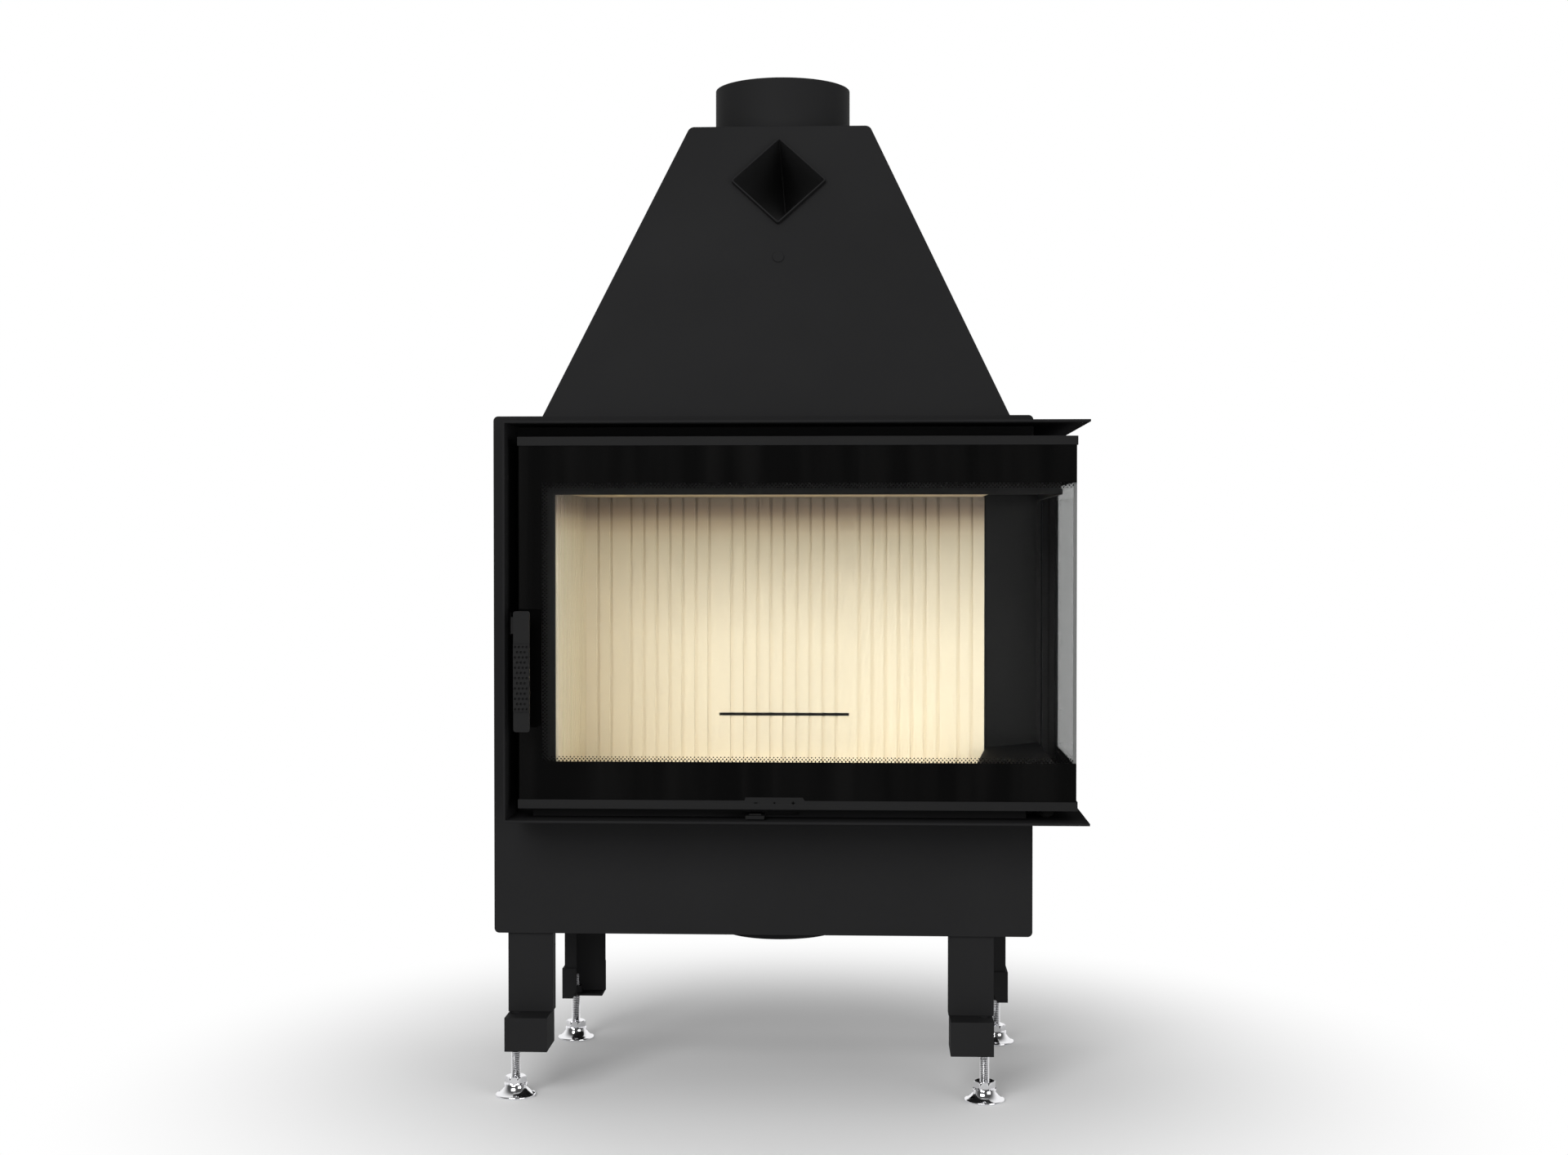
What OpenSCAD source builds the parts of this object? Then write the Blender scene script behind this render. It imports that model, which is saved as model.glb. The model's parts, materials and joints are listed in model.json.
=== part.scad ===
// Corner fireplace insert with glass at the front and on the right.
// Millimetres, +Z up, the viewer stands on the -Y side.
// Sizes are laid out from the body's centre line (x), the collar's front plane (y) and
// the floor (z); the last step moves the plan to the middle of the whole outline.

/* [Body casing] */
// Width of the sheet casing
body_w = 670; // [600:1:800]
// Depth of the sheet casing
body_d = 345.5; // [330:0.5:450]
// Height of the sheet casing
body_h = 645; // [630:1:760]
// Gap between floor and casing
body_clear = 203; // [190:1:260]
// Sheet thickness of casing and collar
sheet = 3; // [2:0.5:4]
// Outside radius of the casing's long edges
edge_r = 6; // [4:0.5:12]
// Width of the folded edge of a side wall
fold_w = 20; // [15:1:30]

/* [Mounting collar] */
// How far the collar stands out in front of the casing
collar_depth = 94.5; // [80:0.5:130]
// How far the collar stands out beyond the casing's right side
collar_proud = 60.6; // [56:0.2:90]
// Step from the casing's left side in to the collar
collar_step = 28; // [20:0.5:40]
// Height of the collar's lower edge above the casing's lower edge
collar_rise = 150.7; // [140:0.1:180]
// Height of the casing's header above the collar
header_h = 11; // [8:0.5:20]
// Step from the casing's rear face forward to the collar's rear plate
collar_back_step = 48; // [40:1:60]

/* [Hood] */
// Step from the casing's left side in to the hood's foot
hood_step_l = 60.5; // [40:0.5:70]
// Step from the casing's right side in to the hood's foot
hood_step_r = 28.5; // [20:0.5:60]
// Height of the hood
hood_h = 384; // [330:1:430]
// Set-back of the hood's foot behind the casing front
hood_foot_set = 5.5; // [5:0.5:12]
// Step from the casing's rear face in to the hood's foot
hood_foot_back = 5; // [4:0.5:12]
// Step from the casing's rear face in to the hood's top
hood_top_back = 20; // [10:0.5:30]
// Plain sheet in front of and behind the flue collar
flue_margin_y = 6.5; // [5:0.5:12]
// Plain sheet on each side of the flue collar
flue_margin_x = 27; // [20:0.5:40]
// Radius of the hood's upper corners
hood_corner_r = 9; // [5:1:20]
// Sheet thickness of the hood
hood_wall = 3; // [2:0.5:4]

/* [Flue collar] */
// Outside diameter of the flue collar
flue_d = 180; // [150:1:200]
// Height of the flue collar
flue_h = 65; // [50:1:90]
// Wall of the flue collar
flue_wall = 3; // [2:0.5:5]
// Step of the thinner neck that reaches through the sheet
neck_step = 1; // [0.5:0.1:1.5]

/* [Diamond duct] */
// Inside width across the duct's flats
duct_in = 83; // [70:1:90]
// Wall of the duct
duct_wall = 2; // [1.5:0.5:3]
// Outside radius of the duct's corners
duct_r = 3.5; // [3.2:0.1:8]
// How far the duct stands out of the hood
duct_proud = 6.5; // [3:0.5:12]
// Duct's centre below the hood's top
duct_drop = 77; // [74:1:100]
// Diameter of the probe plug
plug_d = 14.6; // [12:0.2:20]
// Plug below the hood's top
plug_drop = 178; // [165:1:190]

/* [Air spigot] */
// Outside diameter of the air spigot
spigot_d = 150; // [125:1:160]
// How far the spigot hangs below the casing
spigot_drop = 21; // [15:1:40]
// Wall of the spigot
spigot_wall = 2; // [1.5:0.5:4]
// Spigot centre behind the casing front
spigot_set = 155.5; // [120:0.5:180]

/* [Door] */
// Left edge of the door from the collar's left plate
door_gap_l = 13.4; // [12:0.2:18]
// Gap between the door's side and the collar's right edge
door_gap_r = 13.4; // [12:0.2:18]
// Gap under the door's lower rail
door_gap_b = 13.3; // [12:0.1:18]
// Gap over the door's upper rail
door_gap_t = 15.9; // [14:0.1:20]
// Height of each rail
rail_h = 10.6; // [9:0.2:13]
// How far the rails stand out of the glass
rail_lip = 1.7; // [1:0.1:2.5]
// Set-back of the door's face behind the collar's front plane
door_set = 11.3; // [9:0.1:14]
// Glass thickness
glass_t = 4; // [3:0.5:5]
// Depth of the glass edge inside a rail
glass_bite = 6; // [4:0.5:7]
// Width of the seal between the two glass panes
seal_w = 1.5; // [1:0.1:3]
// Depth of the front frame behind the glass
front_frame_d = 16; // [12:0.5:16]
// Depth of the side frame behind the glass
side_frame_d = 6.5; // [5:0.5:7]
// Width of the front stile
stile_w = 24; // [20:0.5:26]
// Depth of the rear stile
rear_stile_d = 20; // [16:0.5:20]
// Width of the rear stile
rear_stile_w = 8.3; // [7:0.1:8.5]
// Height of the frame leg behind the glass next to each rail
frame_leg = 12.4; // [10:0.2:16]
// Thickness of the rope gasket
gasket_t = 4.5; // [4:0.1:6]
// Clearance between the rope gasket and the front frame
gasket_fit = 0.5; // [0.3:0.1:1]
// Width of the rope gasket
gasket_w = 8; // [6:0.5:9]

/* [Door hinge and roller] */
// Pin diameter
pin_d = 8; // [6:0.5:8]
// Running clearance on the radius
pin_fit = 0.05; // [0.02:0.01:0.1]
// Pin length beyond the rail
pin_l = 7; // [6:0.5:8]
// Radius of the hinge eyes
eye_r = 7; // [6:0.2:7.4]
// Hinge axis in front of the collar's rear plate
hinge_off = 8; // [7.6:0.1:10]
// Hinge axis to the right of the side glass
hinge_side = 3.5; // [3:0.1:4]
// Play between door and hinge brackets
hinge_play = 0.3; // [0.2:0.1:0.6]
// Diameter of the support roller
roller_d = 21; // [18:0.5:21]
// Width of the support roller
roller_w = 10; // [8:0.5:12]
// Axle diameter of the roller
axle_d = 6; // [5:0.5:8]
// Clearance under the support roller
roller_fit = 0.5; // [0.3:0.1:1]
// Roller centre to the left of the hinge axis
roller_off = 36; // [30:1:48]
// Roller's front face behind the collar's front plane
roller_y = 51; // [48:0.5:54]

/* [Handle] */
// Length of the handle bar
handle_l = 144; // [120:1:160]
// Width of the handle bar
handle_w = 19.4; // [16:0.2:22]
// Thickness of the handle bar
handle_t = 5; // [4:0.5:8]
// Height of the bar's lower end above the door's lower edge
handle_rise = 95; // [80:1:110]
// Gap between the bar and the backing plate
finger_gap = 26; // [24:0.5:32]
// Length of the perforated grip
grip_l = 80; // [60:1:92]
// Thickness of the perforated grip
grip_t = 2; // [1.5:0.5:3]
// Diameter of the grip's holes
grip_hole_d = 3; // [2:0.2:3.4]
// Rows of holes in the grip
grip_rows = 13; // [9:2:15]
// Width of the black backing plate
plate_w = 27.8; // [26:0.1:32]
// Length of the black backing plate
plate_l = 141; // [125:1:150]
// Thickness of the black backing plate
plate_t = 5; // [3:0.5:6]
// Diameter of the pivot shaft
shaft_d = 10; // [8:0.5:11]
// Pivot below the bar's upper end
pivot_drop = 17; // [15:0.5:24]
// Length of the latch cam
cam_l = 20; // [16:0.5:21]
// Clearance of the latch cam on both faces
cam_fit = 0.5; // [0.3:0.1:0.8]

/* [Air slider] */
// Width of the slider's tab
tab_w = 22.7; // [18:0.1:26]
// Depth of the slider's tab
tab_d = 33; // [25:1:34]
// Height of the tab's folded front edge
tab_h = 4.2; // [3.5:0.1:6]
// Travel of the slider
slide_travel = 45; // [35:1:50]
// Slider's left edge to the left of the casing's centre
index_x = 15.4; // [10:0.1:25]
// Width of the index plate
index_w = 72.6; // [65:0.1:80]
// Height of the index plate above the rail
index_rise = 3.9; // [3:0.1:5]

/* [Firebox] */
// Left slab's face from the door's left edge
clay_step = 43.8; // [40:0.2:50]
// Width of the front frame's left strip
frame_strip = 32.2; // [30:0.2:36]
// Thickness of the fireclay slabs
slab_t = 30; // [25:1:32]
// Depth of the corner post
post_d = 24; // [20:0.5:30]
// Width of the corner post
post_w = 7; // [5:0.5:7.5]
// Step from the front frame's side in to the corner post
post_step = 5.3; // [5:0.1:6]
// Depth of the rear corner's cut-off
corner_cut = 72.7; // [60:0.1:80]
// Upper edge of the opening below the door's upper edge
mouth_drop = 69.3; // [66:0.1:80]
// Height of the front frame's lower band
band_h = 21; // [18:1:26]
// Firebox floor above the door's lower edge
box_rise = 14; // [13:0.5:16]
// Firebox roof below the door's upper edge
roof_drop = 6; // [5:0.5:10]
// Radius of the front frame's right corner
frame_corner_r = 8; // [5:0.5:10]
// Height of the raised lip over the frame's mouth
mouth_lip = 7; // [5:0.5:10]
// Width of the raised lip beside the frame's mouth
side_lip = 4.5; // [3:0.5:8]
// How far the lip stands out of the frame
lip_out = 1.5; // [1:0.1:2.5]
// Height of the hearth slabs
hearth_t = 9; // [8:1:14]
// Height of the dark side ledge above the firebox floor
ledge_h = 31.4; // [28:0.2:36]
// Ledge's front corner to the left of the corner cut-off
ledge_step = 26.5; // [20:0.5:30]
// Step from the hood's foot in to the smoke throat
throat_step = 80; // [60:1:100]
// Sheet in front of and behind the smoke throat
throat_rim = 18; // [12:1:24]
// Smoke gap in front of the baffle
baffle_gap = 40; // [30:1:60]
// Thickness of the smoke baffle
baffle_t = 25; // [20:1:30]

/* [Fireclay ribs] */
// Width of a groove
groove_w = 4; // [3:0.2:6]
// Depth of a groove
groove_deep = 2; // [1.5:0.5:8]
// Width of the plain ribs beside the middle group
rib_wide = 30.3; // [26:0.1:34]
// Width of the plain ribs beside the outer groups
rib_end = 26.8; // [24:0.1:32]
// Plain edge at both ends of the back wall
rib_edge = 17.4; // [12:0.1:24]
// Rib pattern to the left of the back wall's middle
rib_shift = 1.1; // [0:0.1:3]
// Height of the secondary air slot above the firebox floor
slot_rise = 72.7; // [60:0.1:90]
// Height of the secondary air slot
slot_h = 4; // [3:0.5:6]
// Depth of the secondary air slot
slot_deep = 12; // [8:1:20]

/* [Grate and ash pan] */
// Width of the grate
grate_w = 180; // [160:1:200]
// Depth of the grate
grate_d = 140; // [120:1:150]
// Bars of the grate
grate_slots = 9; // [7:1:11]
// Set-back of the grate behind the front frame
grate_set = 62; // [50:1:80]
// Height of the ash pan
pan_h = 22; // [18:0.5:22.5]

/* [Legs] */
// Set-back of the front legs behind the casing front
leg_set = 4.5; // [2:0.5:8]
// Rear rods in front of the casing's rear face
rear_rod_set = 48; // [40:1:60]
// Outer rods of one diagonal from the casing's side
rod_in_near = 27; // [25:1:40]
// Outer rods of the other diagonal from the casing's side
rod_in_far = 59; // [45:1:70]
// Width of a leg channel
leg_w = 56; // [50:1:60]
// Depth of a leg channel
leg_d = 24; // [20:1:30]
// Width of a rear leg's rear wall
rear_leg_w = 51.5; // [46:0.5:56]
// Width of a rear leg's front lip
lip_w = 16.5; // [12:0.5:20]
// Rear wall of a rear leg behind the rod
rear_web = 10.5; // [10:0.5:14]
// Size of the rod's nut across its flats
nut_w = 17; // [16:0.5:17]
// Height of the rod's nut
nut_h = 9; // [7:0.5:10]
// Height of the foot blocks above the floor
block_z = 61.5; // [56:0.5:70]
// Width of a foot block
block_w = 53; // [50:0.5:58]
// Depth of a foot block
block_d = 60; // [54:1:64]
// Height of a foot block
block_h = 42; // [36:1:50]
// Rod centre behind a block's front face
rod_set = 29; // [27:0.5:29.5]
// Rod in front of the leg's web
web_set = 7; // [6.5:0.5:10]
// Diameter of the levelling rod
rod_d = 12; // [10:1:14]
// Length of the levelling rod above its pad
rod_l = 74; // [70:1:84]
// Diameter of the foot pad
pad_d = 50; // [44:1:56]
// Height of the foot pad
pad_h = 16; // [14:0.5:18]
// Size of the foot's hexagon across its corners
hex_d = 27; // [24:0.5:28]
// Height of the foot's hexagon
hex_h = 9; // [7:0.5:10]

/* [Hidden] */
$fn = 48;
skin = 0.01;
// How far a cut runs past the face it opens, and the length of a cut through a thin piece
past = 1;
through = 60;

body_l = -body_w / 2;
body_r = body_w / 2;
body_y = collar_depth;
body_back = body_y + body_d;
body_z = body_clear;
body_top = body_z + body_h;
collar_l = body_l + collar_step;
collar_r = body_r + collar_proud;
collar_z = body_z + collar_rise;
collar_top = body_top - header_h;
collar_back = body_back - collar_back_step;
rear_plate_y = collar_back - sheet;
floor_z = collar_z + sheet;
ceil_z = collar_top - sheet;

door_l = collar_l + sheet + door_gap_l;
door_r = collar_r - door_gap_r;
door_z = floor_z + door_gap_b;
door_top = ceil_z - door_gap_t;
glass_y = door_set + rail_lip;
glass_in = glass_y + glass_t;
side_x = door_r - rail_lip;
side_in = side_x - glass_t;
front_back = glass_in + front_frame_d;
side_frame_x = side_in - side_frame_d;
glass_z = door_z + rail_h - glass_bite;
glass_top = door_top - rail_h + glass_bite;
glass_l = door_l + rail_lip;
hinge_y = rear_plate_y - hinge_off;
hinge_x = side_x + hinge_side;
door_end = hinge_y - eye_r;
stile_back = hinge_y + hinge_off / 2;
stile_y = stile_back - rear_stile_d;
stile_x = side_in - rear_stile_w;
glass_end = door_end - 2;
rail_corner_r = 4;

frame_t = sheet;
frame_y = front_back + gasket_t + gasket_fit;
frame_back = frame_y + frame_t;
frame_r = side_frame_x - gasket_t - gasket_fit;
frame_x = frame_r - frame_t;
clay_l = door_l + clay_step;
mouth_l = clay_l - 2;
frame_l = mouth_l - frame_strip;
post_l = frame_r - post_step;
post_y = rear_plate_y - post_d;
back_r = post_l - corner_cut;
cut_step = 1.3;
back_y = post_y - corner_cut - cut_step;
box_z = door_z + box_rise;
box_floor = box_z + sheet;
roof_z = door_top - roof_drop;
box_top = roof_z + sheet;
mouth_z = door_top - mouth_drop;
mouth_low = box_z + band_h;
shell_y = back_y + slab_t;
slab_l = clay_l - slab_t;
slab_y = frame_back + 6;
slab_top = mouth_z + 3;
hearth_z = box_floor + hearth_t;
ledge_l = back_r - ledge_step;
gap = 0.5;

back_w = back_r - clay_l;
groove_pitch = (back_w - 2 * (rib_edge + rib_wide + rib_end)) / 22;
rib_x = (clay_l + back_r) / 2 - rib_shift;
centre_half = 4 * groove_pitch + rib_wide / 2 + groove_w / 2 - 0.2;
centre_l = rib_x - centre_half;
centre_r = rib_x + centre_half;
slot_z = box_floor + slot_rise;

hood_x = (hood_step_l - hood_step_r) / 2;
hood_foot_w = body_w - hood_step_l - hood_step_r;
hood_top_w = flue_d + 2 * flue_margin_x;
hood_foot_d = body_d - hood_foot_set - hood_foot_back;
hood_top_d = flue_d + 2 * flue_margin_y;
hood_top_set = body_d - hood_top_back - hood_top_d;
hood_z = body_top;
hood_top = hood_z + hood_h;
hood_foot_y = body_y + hood_foot_set;
hood_top_y = body_y + hood_top_set;
hood_top_back_y = hood_top_y + hood_top_d;
hood_foot_back_y = hood_foot_y + hood_foot_d;
hood_lean = atan((hood_top_y - hood_foot_y) / hood_h);
hood_rear_lean = atan((hood_foot_back_y - hood_top_back_y) / hood_h);
// Depth of the leaning sheets along y
hood_in_front = hood_wall / cos(hood_lean);
hood_in_rear = hood_wall / cos(hood_rear_lean);
// Side slope of the hood seen from the front
hood_side_a = atan2(hood_h, (hood_foot_w - hood_top_w) / 2);
flue_y = hood_top_y + hood_top_d / 2;
spigot_y = body_y + spigot_set;
duct_rise = hood_h - duct_drop;
duct_out = duct_in + 2 * duct_wall;
duct_run = body_d;
plug_rise = hood_h - plug_drop;
plug_neck = plug_d - 4;
plug_x = hood_x + 1;
plug_rim = 1.5;
plug_deep = hood_wall + 3;
// How far the duct's cut runs out of the face, and how far the duct ends inside the rear face
duct_cut = 20;
duct_inset = 8;

throat_w = hood_foot_w - 2 * throat_step;
throat_y = body_y + throat_rim;
throat_d = shell_y - throat_rim - throat_y;
baffle_top = slab_top + baffle_t;

handle_z = door_z + handle_rise;
handle_top = handle_z + handle_l;
handle_back = glass_y - plate_t - finger_gap;
handle_y = handle_back - handle_t;
grip_y = handle_y - grip_t;
pivot_x = door_l + handle_w / 2 + 0.6;
pivot_z = handle_top - pivot_drop;
cam_y = front_back + cam_fit;
cam_back = frame_y - cam_fit;
cam_half = 5;
cam_reach = sqrt(cam_l * cam_l + cam_half * cam_half);
shaft_hole = shaft_d + 2 * pin_fit;
pin_hole = pin_d + 2 * pin_fit;
rod_hole = rod_d + 2 * pin_fit;

slider_y = 11;
slide_gap = 1.3;
slider_z = floor_z + slide_gap;
slider_t = 2;
arm_t = 2;
arm_z = slider_z + tab_h - arm_t;
arm_play = 1;
box_front = frame_back + 5;
arm_in = 5;
arm_w = 12;
arm_x = [arm_in - index_x, arm_in + arm_w - index_x];
port_x = -index_x;
port_w = 40;
port_h = 8;
port_z = slider_z + 14;
mark_shift = 1.2;
mark_x = tab_w / 2 - index_x + mark_shift;
mark_drop = 2.6;
roller_x = hinge_x - roller_off;
roller_z = floor_z + roller_fit + roller_d / 2;

pan_shift = 1;
pan_x = rib_x - pan_shift;
pan_play = 2;
grate_play = 0.2;
grate_t = 4;
grate_y = frame_y + grate_set;

front_rod_y = body_y + leg_set - web_set;
rear_rod_y = body_back - rear_rod_set;
rod_near = body_w / 2 - rod_in_near;
rod_far = body_w / 2 - rod_in_far;
block_near = 9.2;
block_far = 10;
leg_near = 10.4;
leg_far = 11.6;
lip_y = block_d - rod_set - sheet;
shoe_front = 12;

shift_x = -(body_l + collar_r) / 2;
shift_y = -(grip_y + body_back) / 2;

steel = [0.16, 0.16, 0.165];
dark_steel = [0.09, 0.09, 0.095];
cream = [0.93, 0.86, 0.70];
iron = [0.12, 0.12, 0.12];
chrome = [0.82, 0.83, 0.85];
glass_tint = [0.75, 0.80, 0.80, 0.35];
rope = [0.45, 0.44, 0.42];

// A block between two limits on each axis
module span(x, y, z) {
    translate([x[0], y[0], z[0]])
        cube([x[1] - x[0], y[1] - y[0], z[1] - z[0]]);
}

// A ring or tube standing on z, with a true bore
module tube(d_out, d_in, h) {
    difference() {
        cylinder(d = d_out, h = h, $fn = 96);
        translate([0, 0, -past]) cylinder(d = d_in, h = h + 2 * past, $fn = 96);
    }
}

// A rectangle in the x-z plane with round corners, drawn as a flat outline
module round_rect(x, z, r) {
    translate([x[0] + r, z[0]]) square([x[1] - x[0] - 2 * r, z[1] - z[0]]);
    translate([x[0], z[0] + r]) square([x[1] - x[0], z[1] - z[0] - 2 * r]);
    for (cx = [x[0] + r, x[1] - r], cz = [z[0] + r, z[1] - r])
        translate([cx, cz]) circle(r = r);
}

// Extrudes an x-z outline from y0 to y1
module along_y(y0, y1) {
    translate([0, y1, 0]) rotate([90, 0, 0]) linear_extrude(y1 - y0) children();
}

// Extrudes a y-z outline from x0 to x1
module along_x(x0, x1) {
    translate([x0, 0, 0]) rotate([90, 0, 90]) linear_extrude(x1 - x0) children();
}

module placed() {
    translate([shift_x, shift_y, 0]) children();
}

// ---- casing ----

module front_plate() {
    color(steel) difference() {
        along_y(body_y, body_y + sheet) round_rect([body_l, body_r], [body_z, body_top], edge_r);
        span([frame_l, body_r + past], [body_y - past, body_y + sheet + past], [floor_z, box_top]);
    }
}

// Side wall with its folded upper and lower edges, as an outline open towards +x
module folded_side() {
    difference() {
        intersection() {
            round_rect([body_l, body_r], [body_z, body_top], edge_r);
            translate([body_l, body_z]) square([fold_w, body_h]);
        }
        intersection() {
            round_rect([body_l + sheet, body_r - sheet], [body_z + sheet, body_top - sheet],
                edge_r - sheet);
            translate([body_l, body_z]) square([fold_w + past, body_h]);
        }
    }
}

module left_wall() {
    color(steel) along_y(body_y + sheet, body_back - sheet) folded_side();
}

module right_wall() {
    color(steel) difference() {
        along_y(body_y + sheet, body_back - sheet) mirror([1, 0]) folded_side();
        span([body_r - sheet - past, body_r + past], [body_y, rear_plate_y], [floor_z, box_top]);
    }
}

module rear_wall() {
    color(steel) along_y(body_back - sheet, body_back)
        round_rect([body_l, body_r], [body_z, body_top], edge_r);
}

module roof_plate() {
    mouth = 22;
    color(steel) difference() {
        span([body_l + fold_w, body_r - fold_w], [body_y + sheet, body_back - sheet],
            [body_top - sheet, body_top]);
        span([hood_x - hood_foot_w / 2 + mouth, hood_x + hood_foot_w / 2 - mouth],
            [hood_foot_y + mouth, hood_foot_y + hood_foot_d - mouth],
            [body_top - sheet - past, body_top + past]);
    }
}

module base_plate() {
    color(steel) difference() {
        span([body_l + fold_w, body_r - fold_w], [body_y + sheet, body_back - sheet],
            [body_z, body_z + sheet]);
        translate([hood_x, spigot_y, body_z - past])
            cylinder(d = spigot_d - 2 * neck_step, h = sheet + 2 * past, $fn = 96);
    }
}

module deck_plate() {
    color(dark_steel) difference() {
        span([body_l + sheet, body_r - sheet], [body_y + sheet, body_back - sheet],
            [collar_z, floor_z]);
        translate([hood_x, spigot_y, collar_z - past])
            cylinder(d = spigot_d, h = sheet + 2 * past, $fn = 96);
    }
}

// Plan outline of the collar's upper and lower plates
module collar_plan() {
    translate([collar_l, 0]) square([collar_r - collar_l, body_y]);
    translate([body_r, 0]) square([collar_proud, collar_back]);
}

module mounting_collar() {
    color(steel) {
        translate([0, 0, collar_z]) linear_extrude(sheet) collar_plan();
        translate([0, 0, ceil_z]) linear_extrude(sheet) collar_plan();
        span([collar_l, collar_l + sheet], [0, body_y], [collar_z, collar_top]);
        span([body_r, collar_r], [rear_plate_y, collar_back], [collar_z, collar_top]);
    }
}

// ---- hood and pipes ----

// Front outline of the hood, less an even wall; the upper corners are round
module hood_front_outline(wall) {
    in = wall / sin(hood_side_a);
    foot = hood_foot_w / 2 - in;
    top = hood_top_w / 2 - in + wall / tan(hood_side_a);
    r = hood_corner_r - wall;
    arc_x = top - r * tan(hood_side_a / 2);
    arc_z = hood_top - wall - r;
    turns = [for (i = [0:6]) 90 - hood_side_a * i / 6];
    right = [for (a = turns) [hood_x + arc_x + r * cos(a), arc_z + r * sin(a)]];
    left = [for (i = [6:-1:0]) [hood_x - arc_x - r * cos(turns[i]), arc_z + r * sin(turns[i])]];
    polygon(concat([[hood_x - foot, hood_z]], left, right, [[hood_x + foot, hood_z]]));
}

// Side outline of the space between the front and the rear sheet
module hood_side_outline(front, rear) {
    polygon([[hood_foot_y + front, hood_z], [hood_top_y + front, hood_top],
        [hood_top_back_y - rear, hood_top], [hood_foot_back_y - rear, hood_z]]);
}

// Places a child on the hood's leaning front, with z pointing out of the face
module on_face(x, rise) {
    translate([x, hood_foot_y + rise * tan(hood_lean), hood_z + rise])
        rotate([90 - hood_lean, 0, 0]) children();
}

// A square bar through the hood, one corner up, standing out of the front face
module duct_bar(side, out, r) {
    on_face(hood_x, duct_rise) translate([0, 0, -duct_run]) rotate([0, 0, 45])
        linear_extrude(duct_run + out) round_rect([-side / 2, side / 2], [-side / 2, side / 2], r);
}

// Sides and top of the hood in one bent sheet, between the front and the rear sheet
module hood_shell() {
    color(steel) difference() {
        intersection() {
            along_y(body_y, body_back) difference() {
                hood_front_outline(0);
                translate([0, -skin]) hood_front_outline(hood_wall);
            }
            along_x(body_l, body_r) hood_side_outline(hood_in_front, hood_in_rear);
        }
        translate([hood_x, flue_y, hood_top - hood_wall - past])
            cylinder(d = flue_d - 2 * neck_step, h = hood_wall + 2 * past, $fn = 96);
    }
}

// Leaning sheet from its outer face at the foot and the top, as thick as said along y
module hood_plate(foot_y, top_y, deep) {
    intersection() {
        along_y(body_y, body_back) hood_front_outline(0);
        along_x(body_l, body_r) polygon([[foot_y, hood_z], [top_y, hood_top],
            [top_y + deep, hood_top], [foot_y + deep, hood_z]]);
    }
}

module hood_front() {
    color(steel) difference() {
        hood_plate(hood_foot_y, hood_top_y, hood_in_front);
        duct_bar(duct_out, duct_cut, duct_r);
        on_face(plug_x, plug_rise) cylinder(d = plug_neck, h = through, center = true);
    }
}

module hood_rear() {
    color(steel) difference() {
        hood_plate(hood_foot_back_y, hood_top_back_y, -hood_in_rear);
        duct_bar(duct_out, duct_cut, duct_r);
    }
}

// Both round pipes stand on their sheet and reach through it with a slightly thinner neck
module flue_collar() {
    color(steel) translate([hood_x, flue_y, hood_top]) {
        tube(flue_d, flue_d - 2 * flue_wall, flue_h);
        translate([0, 0, -hood_wall])
            tube(flue_d - 2 * neck_step, flue_d - 2 * flue_wall, hood_wall);
    }
}

module diamond_duct() {
    color(steel) intersection() {
        difference() {
            duct_bar(duct_out, duct_proud, duct_r);
            duct_bar(duct_in, duct_proud + past, duct_r - duct_wall);
        }
        span([body_l, body_r], [0, body_back - duct_inset], [body_top, hood_top + flue_h]);
    }
}

module probe_plug() {
    color(steel) on_face(plug_x, plug_rise) {
        cylinder(d = plug_d, h = plug_rim);
        translate([0, 0, -plug_deep]) cylinder(d = plug_neck, h = plug_deep);
    }
}

module air_spigot() {
    color(steel) translate([hood_x, spigot_y, body_z]) {
        translate([0, 0, -spigot_drop])
            tube(spigot_d, spigot_d - 2 * spigot_wall, spigot_drop);
        tube(spigot_d - 2 * neck_step, spigot_d - 2 * spigot_wall, sheet);
    }
}

// ---- firebox ----

// Plan outline between the casing's left band and the side glass, its front corner round
module wrap_plan(x0, x1, y0, y1, r) {
    translate([x0, y0]) square([x1 - x0 - r, y1 - y0]);
    translate([x0, y0 + r]) square([x1 - x0, y1 - y0 - r]);
    translate([x1 - r, y0 + r]) circle(r = r);
}

module firebox_frame() {
    color(dark_steel) difference() {
        translate([0, 0, box_floor]) linear_extrude(roof_z - box_floor) difference() {
            wrap_plan(frame_l, frame_r, frame_y, post_y, frame_corner_r);
            wrap_plan(frame_l - past, frame_x, frame_back, post_y + past,
                frame_corner_r - frame_t);
        }
        span([mouth_l, frame_r + past], [frame_y - past, post_y + past], [mouth_low, mouth_z]);
    }
    color(dark_steel) mouth_lips();
}

// Raised lip over the frame's mouth, round its corner, and down its left side
module mouth_lips() {
    x0 = mouth_l - side_lip;
    translate([0, 0, mouth_z]) linear_extrude(mouth_lip) difference() {
        wrap_plan(x0, frame_r + lip_out, frame_y - lip_out, post_y, frame_corner_r + lip_out);
        wrap_plan(x0 - past, frame_x, frame_back, post_y + past, frame_corner_r - frame_t);
    }
    span([x0, mouth_l], [frame_y - lip_out, frame_back], [mouth_low, mouth_z + past]);
}

module firebox_shell() {
    color(dark_steel) {
        span([frame_l, frame_l + sheet], [frame_back, shell_y + sheet], [box_floor, roof_z]);
        span([frame_l + sheet, back_r + slab_t - 2 * sheet], [shell_y, shell_y + sheet],
            [box_floor, roof_z]);
    }
}

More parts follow.
